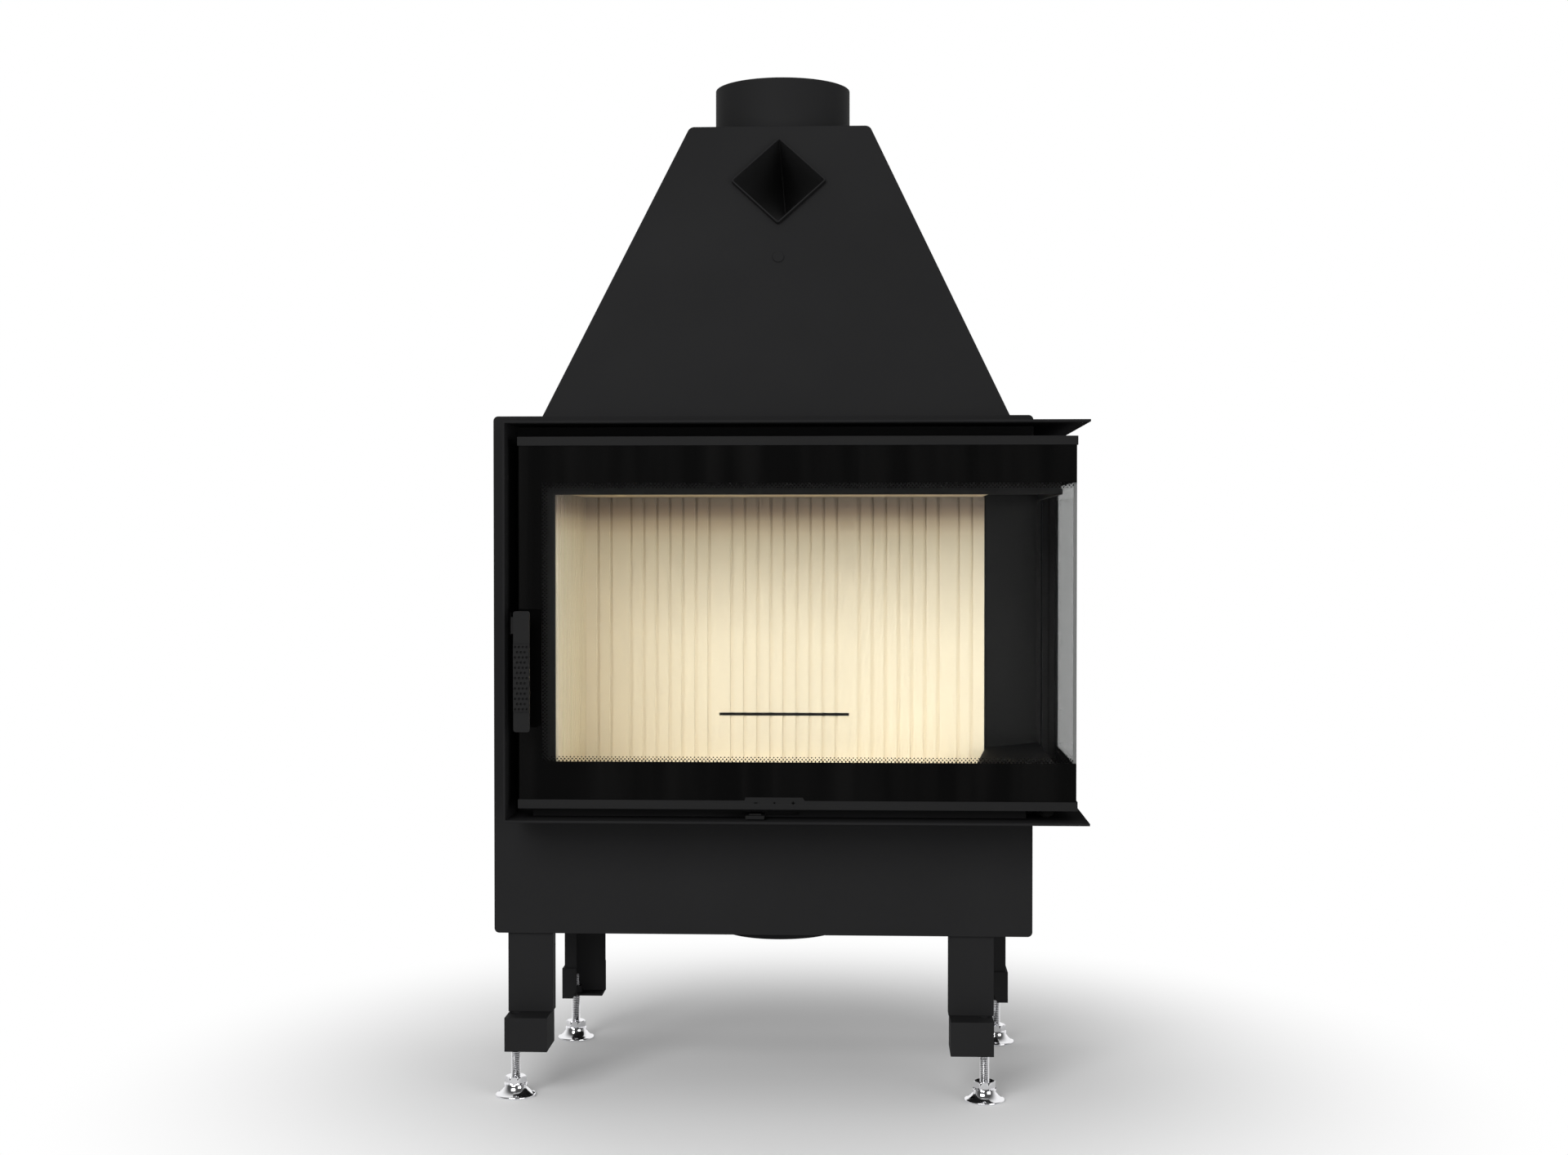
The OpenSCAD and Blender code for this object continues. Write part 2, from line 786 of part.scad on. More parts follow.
// Plan outline of the firebox floor and roof
module box_plan() {
    translate([frame_l, frame_y + frame_corner_r])
        square([frame_r - frame_l, shell_y + sheet - frame_y - frame_corner_r]);
    translate([frame_l, frame_y])
        square([frame_r - frame_l - frame_corner_r, shell_y + sheet - frame_y]);
    translate([frame_r - frame_corner_r, frame_y + frame_corner_r]) circle(r = frame_corner_r);
    translate([back_r - slab_t, shell_y])
        square([frame_r - back_r + slab_t, rear_plate_y - shell_y]);
    translate([post_l, post_y]) square([post_w, rear_plate_y - post_y]);
}

module firebox_roof() {
    color(dark_steel) {
        translate([0, 0, roof_z]) linear_extrude(sheet) difference() {
            box_plan();
            throat_plan(0);
        }
        translate([0, 0, box_top]) linear_extrude(body_top - sheet - box_top) difference() {
            throat_plan(sheet);
            throat_plan(0);
        }
    }
}

// Plan outline of the smoke throat, grown by an even margin
module throat_plan(grow) {
    translate([hood_x - throat_w / 2 - grow, throat_y - grow])
        square([throat_w + 2 * grow, throat_d + 2 * grow]);
}

module firebox_floor() {
    color(dark_steel) translate([0, 0, box_z]) linear_extrude(sheet) difference() {
        box_plan();
        translate([pan_x - grate_w / 2, grate_y]) square([grate_w, grate_d]);
    }
}

module corner_post() {
    color(dark_steel) span([post_l, post_l + post_w], [post_y, rear_plate_y], [box_floor, roof_z]);
}

module rear_corner_panel() {
    run = sqrt(2) * corner_cut;
    color(dark_steel) difference() {
        translate([back_r, back_y, box_floor]) rotate([0, 0, 45])
            cube([run, sheet, roof_z - box_floor]);
        span([post_l, post_l + run], [post_y - run, rear_plate_y], [box_z, roof_z + past]);
    }
}

// Ribbed slab: the face looks to -y, grooves at the given places
module ribbed_slab(x, grooves) {
    difference() {
        span(x, [back_y, shell_y], [box_floor, slab_top]);
        for (g = grooves)
            span([g - groove_w / 2, g + groove_w / 2], [back_y - past, back_y + groove_deep],
                [box_floor - past, slab_top + past]);
    }
}

module back_slab_centre() {
    color(cream) difference() {
        ribbed_slab([centre_l, centre_r], [for (i = [-4:4]) rib_x + i * groove_pitch]);
        span([centre_l - past, centre_r + past], [back_y - past, back_y + slot_deep],
            [slot_z, slot_z + slot_h]);
    }
}

// Places of the side slabs' grooves: seven, a plain rib, then the last ones
module side_slab(x, way) {
    first = rib_x + way * (4 * groove_pitch + rib_wide);
    outer = first + way * (6 * groove_pitch + rib_end);
    ribbed_slab(x, concat([for (i = [0:6]) first + way * i * groove_pitch],
        [for (i = [0:1]) outer + way * i * groove_pitch]));
}

module back_slab_left() {
    color(cream) side_slab([slab_l, centre_l], -1);
}

module back_slab_right() {
    color(cream) difference() {
        side_slab([centre_r, back_r + slab_t], 1);
        translate([back_r, back_y, box_floor - past]) rotate([0, 0, 45])
            translate([-past, -slab_t * 2, 0])
                cube([slab_t * 3, slab_t * 2 + sheet, slab_top - box_floor + 2 * past]);
    }
}

module left_slab() {
    plain = 12;
    first = back_y - plain;
    ribs = floor((first - slab_y - plain) / groove_pitch);
    color(cream) difference() {
        span([slab_l, clay_l], [slab_y, back_y], [box_floor, slab_top]);
        for (y = [for (i = [0:ribs]) first - i * groove_pitch])
            span([clay_l - groove_deep, clay_l + past], [y - groove_w / 2, y + groove_w / 2],
                [box_floor - past, slab_top + past]);
    }
}

module hearth_slabs() {
    joint = 1;
    hole = [pan_x - grate_w / 2, pan_x + grate_w / 2];
    color(cream) {
        span([clay_l, hole[0]], [slab_y, back_y], [box_floor, hearth_z]);
        span([hole[0] + joint, hole[1] - joint], [slab_y, grate_y], [box_floor, hearth_z]);
        span([hole[0] + joint, hole[1] - joint], [grate_y + grate_d, back_y],
            [box_floor, hearth_z]);
        translate([0, 0, box_floor]) linear_extrude(hearth_t)
            polygon([[hole[1], slab_y], [ledge_l - joint, slab_y], [back_r - joint, back_y],
                [hole[1], back_y]]);
    }
}

module side_ledge() {
    bend = frame_corner_r - frame_t;
    run = corner_cut - 2;
    color(dark_steel) translate([0, 0, box_floor]) linear_extrude(ledge_h) polygon([
        [ledge_l, frame_back], [frame_x - bend, frame_back], [frame_x, frame_back + bend],
        [frame_x, back_y + run], [back_r + run + gap, back_y + run], [back_r + gap, back_y]]);
}

// ---- grate, pan, baffle, air box ----

module grate() {
    x0 = pan_x - grate_w / 2;
    rim = 12;
    lap = 6;
    bar = 6;
    root = 2;
    pitch = (grate_w - 2 * rim) / grate_slots;
    color(iron) difference() {
        union() {
            span([x0 + gap, x0 + grate_w - gap], [grate_y + gap, grate_y + grate_d - gap],
                [box_floor, hearth_z]);
            span([x0 - lap, x0 + grate_w + lap], [grate_y - lap, grate_y + grate_d + lap],
                [hearth_z + grate_play, hearth_z + grate_t]);
            span([x0 + root, x0 + grate_w - root], [grate_y + root, grate_y + grate_d - root],
                [hearth_z - grate_t / 4, hearth_z + grate_t / 4]);
        }
        for (i = [0:grate_slots - 1])
            span([x0 + rim + i * pitch + bar / 2, x0 + rim + (i + 1) * pitch - bar / 2],
                [grate_y + rim, grate_y + grate_d - rim],
                [box_floor - past, hearth_z + grate_t + past]);
    }
}

module ash_pan() {
    w = [pan_x - grate_w / 2 + pan_play, pan_x + grate_w / 2 - pan_play];
    d = [grate_y + pan_play, grate_y + grate_d - pan_play];
    t = 1.5;
    color(dark_steel) difference() {
        span(w, d, [floor_z, floor_z + pan_h]);
        span([w[0] + t, w[1] - t], [d[0] + t, d[1] - t], [floor_z + t, floor_z + pan_h + past]);
    }
}

module smoke_baffle() {
    y = [throat_y + baffle_gap, back_y + slab_t / 2];
    side_gap = 4;
    color(cream) span([slab_l + side_gap, back_r - side_gap], y, [slab_top, baffle_top]);
}

module air_box() {
    roller_room = 25;
    rear_room = 4;
    x = [frame_l + sheet, roller_x - roller_room];
    y = [box_front, shell_y - rear_room];
    color(dark_steel) difference() {
        span(x, y, [floor_z, box_z]);
        span([x[0] + sheet, x[1] - sheet], [y[0] + sheet, y[1] - sheet],
            [floor_z - past, box_z + past]);
        span([arm_x[0] - arm_play, arm_x[1] + slide_travel + arm_play],
            [y[0] - past, y[0] + sheet + past], [arm_z - arm_play, arm_z + arm_t + arm_play]);
        span([port_x + slide_travel, port_x + slide_travel + port_w],
            [y[0] - past, y[0] + sheet + past], [port_z, port_z + port_h]);
    }
}

// ---- door ----

// Plan outline of the door's two runs: outer faces, depth of each run and the rear end
module door_plan(x0, out_x, out_y, in_x, in_y, end_y, r) {
    difference() {
        wrap_plan(x0, out_x, out_y, end_y, r);
        translate([x0 - past, in_y]) square([in_x - x0 + past, end_y - in_y + past]);
    }
}

module rail_body(z0, z1) {
    translate([0, 0, z0]) linear_extrude(z1 - z0)
        door_plan(door_l, door_r, door_set, side_frame_x, front_back, door_end, rail_corner_r);
}

module frame_leg_body(z0, z1) {
    translate([0, 0, z0]) linear_extrude(z1 - z0)
        door_plan(glass_l, side_in, glass_in, side_frame_x, front_back, stile_y, 1);
}

module glass_groove(z0, z1) {
    span([glass_l, side_x], [glass_y, glass_in], [z0, z1]);
    span([side_in, side_x], [glass_y, glass_end], [z0, z1]);
}

// Eye at the rear end of a rail, with room for the stile
module hinge_eye(z0, z1) {
    translate([hinge_x, hinge_y, z0]) cylinder(r = eye_r, h = z1 - z0);
    span([stile_x, hinge_x], [glass_end, stile_back], [z0, z1]);
    span([stile_x, side_in], [stile_y, stile_back], [z0, z1]);
}

module door_top_rail() {
    z = [door_top - rail_h, door_top];
    color(steel) {
        difference() {
            union() {
                rail_body(z[0], z[1]);
                frame_leg_body(z[0] - frame_leg, z[0]);
                hinge_eye(z[0], z[1]);
            }
            glass_groove(z[0] - frame_leg - past, glass_top);
        }
        translate([hinge_x, hinge_y, z[1]]) cylinder(d = pin_d, h = pin_l);
    }
}

module door_bottom_rail() {
    z = [door_z, door_z + rail_h];
    color(steel) difference() {
        union() {
            rail_body(z[0], z[1]);
            frame_leg_body(z[1], z[1] + frame_leg);
            hinge_eye(z[0], z[1]);
            translate([hinge_x, hinge_y, z[0] - pin_l]) cylinder(d = pin_d, h = pin_l + past);
            index_tab(z[1]);
        }
        glass_groove(glass_z, z[1] + frame_leg + past);
        index_marks(z[1]);
    }
}

// Raised index plate with slanted ends
module index_tab(z) {
    slant_l = 1.1;
    slant_r = 2.6;
    x = [-index_x - slant_l, index_w - index_x - slant_l];
    along_y(door_set, glass_y) polygon([[x[0], z], [x[0] + slant_l, z + index_rise],
        [x[1] - slant_r, z + index_rise], [x[1], z], [x[1], z - past], [x[0], z - past]]);
}

// Engraved minus, dot and plus
module index_marks(z) {
    cut = 0.3;
    long = 1.6;
    thin = 0.4;
    deep = [door_set - past, door_set + cut];
    mid = z - mark_drop;
    step = slide_travel / 2;
    plus_x = mark_x + 2 * step;
    span([mark_x - long, mark_x + long], deep, [mid - thin, mid + thin]);
    translate([mark_x + step, deep[0], mid]) rotate([-90, 0, 0])
        cylinder(r = long / 2, h = past + cut);
    span([plus_x - long, plus_x + long], deep, [mid - thin, mid + thin]);
    span([plus_x - thin, plus_x + thin], deep, [mid - long, mid + long]);
}

module front_stile() {
    z = [door_z + rail_h + frame_leg, door_top - rail_h - frame_leg];
    color(dark_steel) difference() {
        span([glass_l, glass_l + stile_w], [glass_in, front_back], z);
        pivot_axis() cylinder(d = shaft_hole, h = through, center = true);
    }
}

module pivot_axis() {
    translate([pivot_x, glass_y, pivot_z]) rotate([-90, 0, 0]) children();
}

module rear_stile() {
    color(dark_steel) span([stile_x, side_in], [stile_y, stile_back],
        [door_z + rail_h, door_top - rail_h]);
}

module front_glass() {
    notch_gap = 2;
    notch = shaft_d / 2 + notch_gap;
    color(glass_tint) difference() {
        span([glass_l, side_x], [glass_y, glass_in], [glass_z, glass_top]);
        pivot_axis() cylinder(r = notch, h = through, center = true);
        span([glass_l - past, pivot_x], [glass_y - past, glass_in + past],
            [pivot_z - notch, pivot_z + notch]);
    }
}

module side_glass() {
    color(glass_tint) span([side_in, side_x], [glass_in + seal_w, glass_end],
        [glass_z, glass_top]);
}

module corner_seal() {
    color(rope) span([side_in, side_x], [glass_in, glass_in + seal_w], [glass_z, glass_top]);
}

// Rope around the two runs of the door's frame, at the top and the bottom, and the left stile
module door_gasket() {
    low = door_z + rail_h + frame_leg / 2;
    high = door_top - rail_h - frame_leg / 2;
    x0 = glass_l + stile_w - gasket_w;
    gasket_end = 1;
    gasket_r = 1;
    color(rope) {
        for (z = [low, high]) translate([0, 0, z - gasket_w / 2]) linear_extrude(gasket_w)
            door_plan(x0, side_frame_x, front_back, frame_r + gasket_fit,
                frame_y - gasket_fit, post_y - gasket_end, gasket_r);
        span([x0, x0 + gasket_w], [front_back, frame_y - gasket_fit],
            [low + gasket_w / 2, high - gasket_w / 2]);
    }
}

module hinge_brackets() {
    rim = 2;
    reach = eye_r + rim;
    x = [hinge_x - reach, collar_r - rim];
    y = [hinge_y - reach, rear_plate_y];
    color(steel) difference() {
        union() {
            span(x, y, [door_top + hinge_play, ceil_z]);
            span(x, y, [floor_z, door_z - hinge_play]);
        }
        translate([hinge_x, hinge_y, door_top]) cylinder(d = pin_hole, h = pin_l + past);
        translate([hinge_x, hinge_y, door_z - pin_l - past])
            cylinder(d = pin_hole, h = pin_l + past);
    }
}

// Strap on the lower rail's rear face with a round lower end, and the roller's axle
module roller_hanger() {
    rim = 3.5;
    r = axle_d / 2 + rim;
    t = 3;
    head = 2;
    color(dark_steel) {
        on_axle(front_back) cylinder(r = r, h = t);
        span([roller_x - r, roller_x + r], [front_back, front_back + t],
            [roller_z, door_z + rail_h - past]);
        on_axle(front_back) cylinder(d = axle_d, h = roller_y + roller_w + t - front_back);
        on_axle(roller_y + roller_w + t - head) cylinder(d = axle_d + 2 * head, h = head);
    }
}

// Places a child on the roller's axle, with z pointing to the rear
module on_axle(y) {
    translate([roller_x, y, roller_z]) rotate([-90, 0, 0]) children();
}

module support_roller() {
    color(iron) on_axle(roller_y) tube(roller_d, axle_d + 2 * pin_fit, roller_w);
}

// ---- handle ----

module handle_plate() {
    over = 2;
    corner_r = 2;
    z1 = handle_top + over;
    color(dark_steel) difference() {
        along_y(glass_y - plate_t, glass_y)
            round_rect([glass_l, glass_l + plate_w], [z1 - plate_l, z1], corner_r);
        pivot_axis() cylinder(d = shaft_hole, h = through, center = true);
    }
}

module handle_bar() {
    x = [pivot_x - handle_w / 2, pivot_x + handle_w / 2];
    ear = 3;
    ear_set = 2;
    ear_h = 20;
    corner_r = 3;
    color(steel) {
        along_y(handle_y, handle_back) round_rect(x, [handle_z, handle_top], corner_r);
        span([x[0] - ear, x[0] + past], [handle_y + ear_set, handle_back],
            [pivot_z - ear_h / 2, pivot_z + ear_h / 2]);
    }
}

// Perforated grip on the bar's face, rows of holes staggered
module handle_grip() {
    mid_z = (pivot_z + handle_z) / 2 + 1;
    rim = 0.2;
    web = 1.6;
    corner_r = 1;
    pitch = (grip_l - 2 * grip_hole_d) / (grip_rows - 1);
    across = grip_hole_d + web;
    color(steel) difference() {
        along_y(grip_y, handle_y) round_rect([pivot_x - handle_w / 2 + rim,
            pivot_x + handle_w / 2 - rim], [mid_z - grip_l / 2, mid_z + grip_l / 2], corner_r);
        for (i = [0:grip_rows - 1], k = [0:(i % 2 == 0 ? 3 : 2)])
            translate([pivot_x + (k - (i % 2 == 0 ? 1.5 : 1)) * across, grip_y - past,
                mid_z + (i - (grip_rows - 1) / 2) * pitch])
                rotate([-90, 0, 0]) cylinder(d = grip_hole_d, h = grip_t + 2 * past, $fn = 16);
    }
}

module handle_shaft() {
    hub = 7;
    color(dark_steel) {
        translate([pivot_x, handle_back, pivot_z]) rotate([-90, 0, 0])
            cylinder(d = shaft_d, h = cam_back - handle_back);
        translate([pivot_x, cam_y, pivot_z]) rotate([-90, 0, 0])
            cylinder(r = hub, h = cam_back - cam_y);
        span([pivot_x - cam_l, pivot_x], [cam_y, cam_back], [pivot_z - cam_half, pivot_z + cam_half]);
    }
}

module latch_keeper() {
    half = 14;
    lead = 3;
    color(dark_steel) span([collar_l + sheet, pivot_x - cam_reach - cam_fit],
        [cam_y - lead, slab_y], [pivot_z - half, pivot_z + half]);
}

// ---- air slider ----

module air_slider() {
    slide_fit = 0.3;
    cover_l = 15;
    cover_r = 8;
    roof_gap = 2;
    ridge_in = 4;
    ridge_h = 1.6;
    ridge_y = slider_y + 8;
    tab = [-index_x, tab_w - index_x];
    plate_y = box_front + sheet + slide_fit;
    color(steel) difference() {
        union() {
            span(tab, [slider_y, slider_y + slider_t], [slider_z, arm_z + arm_t]);
            span(tab, [slider_y, slider_y + tab_d], [arm_z, arm_z + arm_t]);
            span([tab[0] + ridge_in, tab[1] - ridge_in], [ridge_y, ridge_y + slider_t],
                [arm_z, arm_z + arm_t + ridge_h]);
            span(arm_x, [slider_y + slider_t, plate_y], [arm_z, arm_z + arm_t]);
            span([port_x - cover_l, port_x + port_w + slide_travel + cover_r],
                [plate_y, plate_y + slider_t], [floor_z + slide_fit, box_z - roof_gap]);
        }
        span([port_x, port_x + port_w], [plate_y - past, plate_y + slider_t + past],
            [port_z, port_z + port_h]);
    }
}

// ---- legs and feet ----

// Places a leg group: x and y of the rod, and the turn about it
module leg_place(x, y, turn) {
    translate([x, y, 0]) rotate([0, 0, turn]) children();
}

// Channel with its web towards -y, from the block up to the casing
module leg(x0) {
    z = [block_z + block_h, body_z];
    color(steel) difference() {
        span([x0, x0 + leg_w], [web_set, web_set + leg_d], z);
        span([x0 + sheet, x0 + leg_w - sheet], [web_set + sheet, web_set + leg_d + past],
            [z[0] + sheet, z[1] - sheet]);
    }
}

// Rear leg: rear wall, outer wall towards +x and a narrow lip on the viewer's side
module rear_leg() {
    x = [leg_far - rear_leg_w, leg_far];
    y = [-rear_web - sheet, lip_y];
    z = [block_z + sheet, body_z];
    color(steel) {
        span(x, [y[0], -rear_web], z);
        span([x[1] - sheet, x[1]], [y[0], y[1]], z);
        span([x[1] - lip_w, x[1]], [y[1] - sheet, y[1]], z);
        span(x, y, [z[1] - sheet, z[1]]);
    }
}

// Shoe round the rear leg's foot: rear and outer wall, lip, bottom plate and the rod's nut
module rear_block() {
    x = [leg_far + sheet - block_w, leg_far + sheet];
    y = [-rod_set, block_d - rod_set];
    z = [block_z, block_z + block_h];
    cut_x = 5;
    cut_z = 12;
    lip_x = leg_far - lip_w;
    color(steel) difference() {
        union() {
            span(x, [y[0], y[0] + sheet], z);
            span([leg_far, x[1]], y, z);
            along_y(lip_y, y[1]) polygon([[lip_x, z[1]], [x[1], z[1]], [x[1], z[0]],
                [lip_x + cut_x, z[0]], [lip_x, z[0] + cut_z]]);
            span(x, [y[0], shoe_front], [z[0], z[0] + sheet]);
            span([lip_x + cut_x, x[1]], [y[0], y[1]], [z[0], z[0] + sheet]);
            translate([0, 0, z[0]]) rotate([0, 0, 30])
                cylinder(d = nut_w / cos(30), h = sheet + nut_h, $fn = 6);
        }
        translate([0, 0, z[0] - past]) cylinder(d = rod_hole, h = sheet + nut_h + 2 * past);
    }
}

// Folded block: front, sides, top and bottom, open at the back, bored for the rod
module foot_block(x0) {
    y0 = -rod_set;
    z = [block_z, block_z + block_h];
    color(steel) difference() {
        span([x0, x0 + block_w], [y0, y0 + block_d], z);
        span([x0 + sheet, x0 + block_w - sheet], [y0 + sheet, y0 + block_d + past],
            [z[0] + sheet, z[1] - sheet]);
        translate([0, 0, z[0] - past]) cylinder(d = rod_hole, h = sheet + 2 * past);
        translate([0, 0, z[1] - sheet - past]) cylinder(d = rod_hole, h = sheet + 2 * past);
    }
}

module foot() {
    rim = 3;
    color(chrome) {
        rotate_extrude($fn = 96) polygon([[0, 0], [pad_d / 2, 0], [pad_d / 2, rim],
            [pad_d / 2 - 4, rim + 1.5], [hex_d / 2 + 1, pad_h - 3], [hex_d / 2 + 1, pad_h], [0, pad_h]]);
        translate([0, 0, pad_h]) cylinder(d = hex_d, h = hex_h, $fn = 6);
        translate([0, 0, pad_h]) cylinder(d = rod_d, h = rod_l);
    }
}

module near_front() { leg_place(-rod_near, front_rod_y, 0) children(); }
module far_front() { leg_place(rod_far, front_rod_y, 0) children(); }
module near_rear() { leg_place(rod_near, rear_rod_y, 180) children(); }
module far_rear() { leg_place(-rod_far, rear_rod_y, 180) children(); }

module leg_front_left() { near_front() leg(-leg_near); }
module leg_front_right() { far_front() leg(leg_far - leg_w); }
module leg_rear_right() { near_rear() mirror([1, 0, 0]) rear_leg(); }
module leg_rear_left() { far_rear() rear_leg(); }
module block_front_left() { near_front() foot_block(-block_near); }
module block_front_right() { far_front() foot_block(block_far - block_w); }
module block_rear_right() { near_rear() mirror([1, 0, 0]) rear_block(); }
module block_rear_left() { far_rear() rear_block(); }
module foot_front_left() { near_front() foot(); }
module foot_front_right() { far_front() foot(); }
module foot_rear_right() { near_rear() foot(); }
module foot_rear_left() { far_rear() foot(); }

placed() front_plate();
placed() left_wall();
placed() right_wall();
placed() rear_wall();
placed() roof_plate();
placed() base_plate();
placed() deck_plate();
placed() mounting_collar();
placed() hood_shell();
placed() hood_front();
placed() hood_rear();
placed() flue_collar();
placed() diamond_duct();
placed() probe_plug();
placed() air_spigot();
placed() firebox_frame();
placed() firebox_shell();
placed() firebox_roof();
placed() firebox_floor();
placed() corner_post();
placed() rear_corner_panel();
placed() back_slab_left();
placed() back_slab_centre();
placed() back_slab_right();
placed() left_slab();
placed() hearth_slabs();
placed() side_ledge();
placed() grate();
placed() ash_pan();
placed() smoke_baffle();
placed() air_box();
placed() hinge_brackets();
placed() latch_keeper();
placed() leg_front_left();
placed() leg_front_right();
placed() leg_rear_left();
placed() leg_rear_right();
placed() block_front_left();
placed() block_front_right();
placed() block_rear_left();
placed() block_rear_right();
placed() door_top_rail();
placed() door_bottom_rail();
placed() front_stile();
placed() rear_stile();
placed() front_glass();
placed() side_glass();
placed() corner_seal();
placed() door_gasket();
placed() handle_plate();
placed() roller_hanger();
placed() handle_bar();
placed() handle_grip();
placed() handle_shaft();
placed() air_slider();
placed() support_roller();
placed() foot_front_left();
placed() foot_front_right();
placed() foot_rear_left();
placed() foot_rear_right();
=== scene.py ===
import json
import math

import bmesh
import bpy
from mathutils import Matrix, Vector

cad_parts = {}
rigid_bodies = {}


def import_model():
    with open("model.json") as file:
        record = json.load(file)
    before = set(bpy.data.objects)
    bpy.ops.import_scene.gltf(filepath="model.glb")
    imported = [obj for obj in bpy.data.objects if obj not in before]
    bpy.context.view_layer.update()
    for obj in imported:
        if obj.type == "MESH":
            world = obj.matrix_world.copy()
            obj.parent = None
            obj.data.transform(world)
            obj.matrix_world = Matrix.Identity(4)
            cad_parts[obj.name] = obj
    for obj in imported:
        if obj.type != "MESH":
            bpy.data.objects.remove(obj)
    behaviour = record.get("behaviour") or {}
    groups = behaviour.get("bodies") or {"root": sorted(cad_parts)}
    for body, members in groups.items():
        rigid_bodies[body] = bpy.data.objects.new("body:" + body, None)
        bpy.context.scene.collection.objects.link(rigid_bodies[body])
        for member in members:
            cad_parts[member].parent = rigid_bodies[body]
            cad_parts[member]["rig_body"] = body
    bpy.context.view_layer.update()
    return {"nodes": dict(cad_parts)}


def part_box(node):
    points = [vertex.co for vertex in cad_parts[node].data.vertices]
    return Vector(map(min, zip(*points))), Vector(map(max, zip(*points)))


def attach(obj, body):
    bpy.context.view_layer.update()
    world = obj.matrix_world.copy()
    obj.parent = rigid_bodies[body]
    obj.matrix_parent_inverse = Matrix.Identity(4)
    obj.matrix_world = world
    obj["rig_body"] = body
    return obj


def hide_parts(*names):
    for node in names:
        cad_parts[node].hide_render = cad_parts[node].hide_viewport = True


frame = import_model()

MM = 0.001

# ---- places taken from the frame ----


def low(node):
    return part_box(node)[0]


def high(node):
    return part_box(node)[1]


GLASS_LEFT = low("front_glass").x
GLASS_RIGHT = high("front_glass").x
GLASS_FRONT = low("front_glass").y
GLASS_REAR = high("side_glass").y
PANE_LOW = low("rear_stile").z
PANE_HIGH = high("rear_stile").z

# ---- small helpers ----

CORNERS = ("front_left", "front_right", "rear_left", "rear_right")
BEVEL_ANGLE = math.radians(35)
FLAT_ANGLE = math.radians(0.5)
WELD = 1e-6


def link(obj):
    bpy.context.scene.collection.objects.link(obj)
    return obj


def sharp_smooth(mesh, angle=30.0):
    """Smooth shading that keeps edges sharper than the angle."""
    mesh.shade_smooth()
    mesh.set_sharp_from_angle(angle=math.radians(angle))


def finish_piece(obj, body, material):
    obj.data.materials.clear()
    obj.data.materials.append(material)
    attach(obj, body)
    return obj


def new_piece(name, bm, body, material, angle=30.0):
    """Turns a bmesh into a piece that rides on a body."""
    mesh = bpy.data.meshes.new(name)
    bm.normal_update()
    bm.to_mesh(mesh)
    bm.free()
    sharp_smooth(mesh, angle)
    return finish_piece(link(bpy.data.objects.new(name, mesh)), body, material)


def bevel(obj, width, segments=2):
    mod = obj.modifiers.new("edge_round", "BEVEL")
    mod.width = width
    mod.segments = segments
    mod.limit_method = "ANGLE"
    mod.angle_limit = BEVEL_ANGLE
    mod.harden_normals = True
    mod.use_clamp_overlap = True


def dress(node, material, width=0.6 * MM):
    """A copy of a CAD node with rounded edges, which stands for the node."""
    source = frame["nodes"][node]
    bm = bmesh.new()
    bm.from_mesh(source.data)
    bmesh.ops.remove_doubles(bm, verts=bm.verts, dist=WELD)
    bmesh.ops.dissolve_limit(bm, angle_limit=FLAT_ANGLE, verts=bm.verts, edges=bm.edges)
    piece = new_piece("look_" + node, bm, source["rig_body"], material)
    bevel(piece, width)
    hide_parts(node)
    return piece


# ---- materials ----

# Where a noise texture turns from the dark tone to the light one
TONE_LOW, TONE_HIGH = 0.3, 0.7
# Size of each texture, as repeats per metre
PAINT_CLOUD = 7.0
PAINT_GRAIN = 1500.0
# painted reflection: stretch of the enamel's lighter upright streaks
ENAMEL_REFLECTION_STREAK = (26.0, 26.0, 1.5)
CLAY_PATCH = 6.0
CLAY_PORE = 900.0
POLISH_CLOUD = 60.0
CAST_SAND = 500.0
BRAID_STRAND = 260.0
BRAID_CELL = 420.0
GLASS_CLOUD = 5.0
# Strength and depth in metres of each relief
PAINT_RELIEF = (0.25, 0.00003)
CLAY_RELIEF = (0.15, 0.0001)
CAST_RELIEF = (0.6, 0.0003)
BRAID_RELIEF = (0.8, 0.0006)
GLASS_TINTS = [(0.98, 0.988, 0.984), (0.99, 0.994, 0.99)]
GLASS_SHADOW = (0.95, 0.955, 0.95, 1.0)


def shader(name):
    mat = bpy.data.materials.new(name)
    mat.use_nodes = True
    nodes = mat.node_tree.nodes
    return mat, nodes, mat.node_tree.links, nodes["Principled BSDF"]


def texture(nodes, links, kind, scale, **values):
    """A texture node on object coordinates, in metres."""
    coord = nodes.new("ShaderNodeTexCoord")
    tex = nodes.new(kind)
    links.new(coord.outputs["Object"], tex.inputs["Vector"])
    tex.inputs["Scale"].default_value = scale
    for key, value in values.items():
        tex.inputs[key].default_value = value
    return tex


def ramp(nodes, links, source, stops):
    node = nodes.new("ShaderNodeValToRGB")
    while len(node.color_ramp.elements) < len(stops):
        node.color_ramp.elements.new(0.5)
    for element, (place, colour) in zip(node.color_ramp.elements, stops):
        element.position = place
        element.color = (*colour, 1.0)
    links.new(source, node.inputs["Fac"])
    return node


def shade(colour, factor):
    return tuple(c * factor for c in colour)


def tones(colour, dark, light):
    """The two stops that cloud a colour a little."""
    return [(TONE_LOW, shade(colour, dark)), (TONE_HIGH, shade(colour, light))]


def bump(nodes, links, source, relief, bsdf):
    node = nodes.new("ShaderNodeBump")
    node.inputs["Strength"].default_value, node.inputs["Distance"].default_value = relief
    links.new(source, node.inputs["Height"])
    links.new(node.outputs["Normal"], bsdf.inputs["Normal"])


